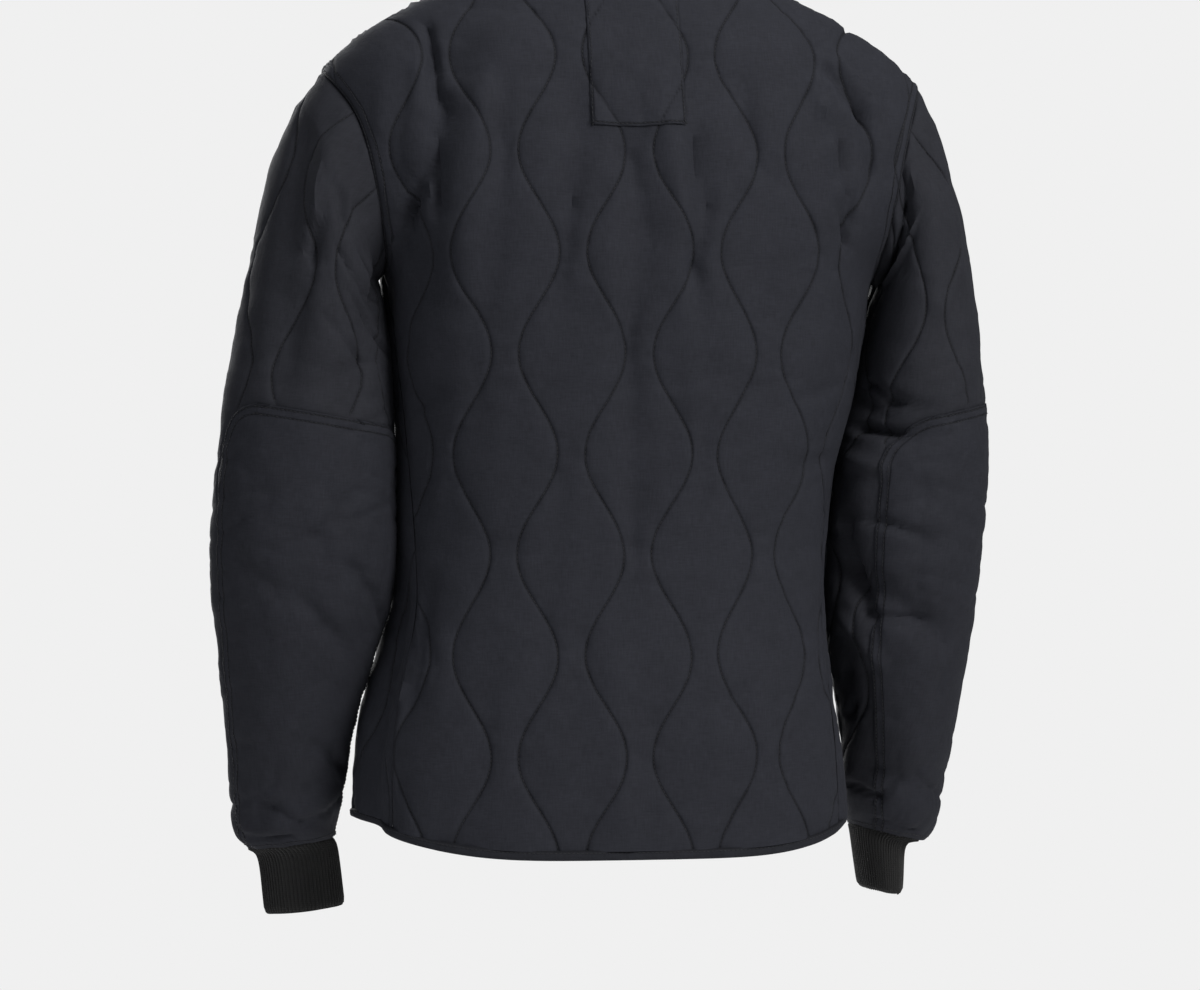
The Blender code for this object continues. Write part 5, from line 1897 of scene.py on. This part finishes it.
class JACKET_OT_bindings(bpy.types.Operator):
    """Fold the tapes round the hem, the neck and the two front edges"""

    bl_idname = "jacket.bindings"
    bl_label = "Bindings"

    def execute(self, context):
        for name, node, edge_row, open_row, fold_row, steps in (
            ("hem_tape", "hem_binding", HEM_TAPE_ROW, HEM_TAPE_ROW + 0.012, 0.004, 620),
            ("neck_tape", "neck_binding", NECK_TAPE_ROW, NECK_TAPE_ROW - 0.02,
             NECK_ROW - 0.004, 240),
        ):
            end = float(front_edge(edge_row)) - 0.02

            def row_at(share, a=open_row, b=fold_row):
                return a + (b - a) * share

            def place(turn, share, row_at=row_at):
                return body_point(turn, row_at(share))

            def out(turn, share, row_at=row_at):
                return body_normal(*np.broadcast_arrays(turn, row_at(share)))

            tape_object(name, node, place, out, np.linspace(-end, end, steps))
        rows = np.array(fine_rows(lambda row: body_base(180.0, row), (0.15, 4, 8, 12, 15.78)))
        for side, sign in SIDES.items():
            def turn_at(row, share, sign=sign):
                inner = front_tape(row) - 0.25
                return sign * (inner + (front_edge(row) - inner) * share)

            def place(row, share, turn_at=turn_at):
                return body_point(turn_at(row, share), row)

            def out(row, share, turn_at=turn_at):
                return body_normal(*np.broadcast_arrays(turn_at(row, share), row))

            tape_object(f"front_{side}_tape", f"front_binding_{side}", place, out, rows)
        return {"FINISHED"}


CAP_PROFILE = (
    (0.0, 0.0021), (0.0022, 0.00205), (0.0042, 0.0018), (0.0054, 0.0014), (0.0058, 0.0011),
    (0.0062, 0.0012), (0.0069, 0.0013), (0.0074, 0.0010), (0.0075, 0.0004), (0.0072, -0.0006),
)


class JACKET_OT_snaps(bpy.types.Operator):
    """Press the snap caps on the left front"""

    bl_idname = "jacket.snaps"
    bl_label = "Snaps"

    def execute(self, context):
        bm = bmesh.new()
        profile = [bm.verts.new((radius, 0.0, z)) for radius, z in CAP_PROFILE]
        profile.append(bm.verts.new((0.0, 0.0, -0.0006)))
        edges = [bm.edges.new(pair) for pair in zip(profile, profile[1:])]
        bmesh.ops.spin(
            bm, geom=profile + edges, cent=(0, 0, 0), axis=(0, 0, 1), angle=2 * math.pi,
            steps=32, use_duplicate=False,
        )
        bmesh.ops.remove_doubles(bm, verts=bm.verts, dist=1e-5)
        bmesh.ops.recalc_face_normals(bm, faces=bm.faces)
        mesh = bpy.data.meshes.new("cap_shape")
        bm.to_mesh(mesh)
        bm.free()
        cap = linked("cap_shape", mesh)
        nodes = sorted(name for name in frame["nodes"] if name.startswith("snap_"))
        points, outs = [], []
        for name in nodes:
            low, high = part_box(name)
            centre = (low + high) / 2
            row = float(np.interp(centre.z, along(BODY_CURVES["z_front"], SIDE_ROWS), SIDE_ROWS))
            normal = body_normal(np.array(180.0), np.array(row))
            points.append(body_point(180.0, row) + normal * 0.0026)
            outs.append(normal)
        metal = material_of("snap")
        lines = [(np.array(points), np.array(outs))]
        piece = grown("snap_caps", lines, snap_tree(), {"Cap": cap, "Metal": metal}, metal)
        bpy.data.objects.remove(cap)
        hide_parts(*nodes)
        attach(piece, BODY_NAME)
        return {"FINISHED"}


def soft_light(name, size, power, place, target, colour):
    data = bpy.data.lights.new(name, "AREA")
    data.shape, data.size, data.size_y = "RECTANGLE", *size
    data.energy, data.color = power, colour
    lamp = linked(name, data)
    lamp.location = place
    lamp.rotation_mode = "QUATERNION"
    lamp.rotation_quaternion = (Vector(target) - Vector(place)).to_track_quat("-Z", "Y")


class JACKET_OT_stage(bpy.types.Operator):
    """Set the camera, the pale floor and the soft lights"""

    bl_idname = "jacket.stage"
    bl_label = "Stage"

    def execute(self, context):
        stage = context.scene.jacket_stage
        target = Vector(stage.target)
        back = Vector((math.sin(stage.azimuth), -math.cos(stage.azimuth), 0.0))
        data = bpy.data.cameras.new("camera")
        data.lens, data.sensor_width = stage.lens, 36.0
        camera = linked("camera", data)
        camera.location = target + back * stage.distance
        camera.rotation_mode = "QUATERNION"
        camera.rotation_quaternion = (-back).to_track_quat("-Z", "Y")
        context.scene.camera = camera
        bm = bmesh.new()
        bmesh.ops.create_circle(bm, cap_ends=True, segments=96, radius=2.6)
        mesh = bpy.data.meshes.new("floor")
        bm.to_mesh(mesh)
        bm.free()
        mesh.transform(Matrix.Translation((0.0, 0.0, stage.floor)))
        material, _, shader = new_material("pale_floor")
        shader.inputs["Base Color"].default_value = (0.86, 0.86, 0.86, 1.0)
        shader.inputs["Roughness"].default_value = 0.9
        mesh.materials.append(material)
        floor = linked("floor", mesh)
        lights = (
            ("key", (1.1, 1.5), stage.key, (-1.6, 2.3, 1.15), (1.0, 0.99, 0.97)),
            ("fill", (2.0, 2.4), stage.fill, (2.6, 2.2, 0.1), (0.98, 0.99, 1.0)),
            ("top", (2.4, 2.4), stage.top, (0.1, 0.5, 2.0), (1.0, 1.0, 1.0)),
            ("front", (2.2, 2.4), stage.key * 0.9, (0.6, -2.9, 0.5), (1.0, 1.0, 1.0)),
        )
        for name, size, power, place, colour in lights:
            soft_light(name, size, power, place, (0.0, 0.0, -0.38), colour)
        world = bpy.data.worlds.new("pale_room")
        world.use_nodes = True
        nodes, links = world.node_tree.nodes, world.node_tree.links
        plain = nodes["Background"]
        plain.inputs["Color"].default_value = (0.97, 0.985, 1.0, 1.0)
        plain.inputs["Strength"].default_value = stage.room
        seen = nodes.new("ShaderNodeBackground")
        seen.inputs["Color"].default_value = (0.871, 0.871, 0.871, 1.0)
        path, mix = nodes.new("ShaderNodeLightPath"), nodes.new("ShaderNodeMixShader")
        links.new(path.outputs["Is Camera Ray"], mix.inputs[0])
        links.new(plain.outputs[0], mix.inputs[1])
        links.new(seen.outputs[0], mix.inputs[2])
        links.new(mix.outputs[0], nodes["World Output"].inputs["Surface"])
        context.scene.world = world
        context.scene.view_settings.view_transform = "Standard"
        return {"FINISHED"}


class JACKET_PT_build(bpy.types.Panel):
    """Lists the steps that build the jacket and their sizes"""

    bl_idname = "JACKET_PT_build"
    bl_label = "Quilted jacket"
    bl_space_type = "VIEW_3D"
    bl_region_type = "UI"
    bl_category = "Jacket"

    def draw(self, context):
        for group in ("jacket_quilting", "jacket_sewing", "jacket_finish", "jacket_stage"):
            box = self.layout.box()
            settings = getattr(context.scene, group)
            for name in settings.bl_rna.properties.keys():
                if name not in ("rna_type", "name"):
                    box.prop(settings, name)
        for step in STEPS:
            self.layout.operator(step.bl_idname)


STEPS = (
    JACKET_OT_stage,
    JACKET_OT_bindings,
    JACKET_OT_back,
    JACKET_OT_neck_patch,
    JACKET_OT_fronts,
    JACKET_OT_sleeves,
    JACKET_OT_elbow_panels,
    JACKET_OT_cuffs,
    JACKET_OT_snaps,
)
GROUPS = {
    "jacket_quilting": JacketQuilting,
    "jacket_sewing": JacketSewing,
    "jacket_finish": JacketFinish,
    "jacket_stage": JacketStage,
}


def register():
    for kind in (*GROUPS.values(), *STEPS, JACKET_PT_build):
        bpy.utils.register_class(kind)
    for name, kind in GROUPS.items():
        setattr(bpy.types.Scene, name, bpy.props.PointerProperty(type=kind))


def unregister():
    for name in GROUPS:
        delattr(bpy.types.Scene, name)
    for kind in reversed((*GROUPS.values(), *STEPS, JACKET_PT_build)):
        bpy.utils.unregister_class(kind)


def main():
    register()
    for step in STEPS:
        area, action = step.bl_idname.split(".")
        getattr(getattr(bpy.ops, area), action)()


if __name__ == "__main__":
    main()
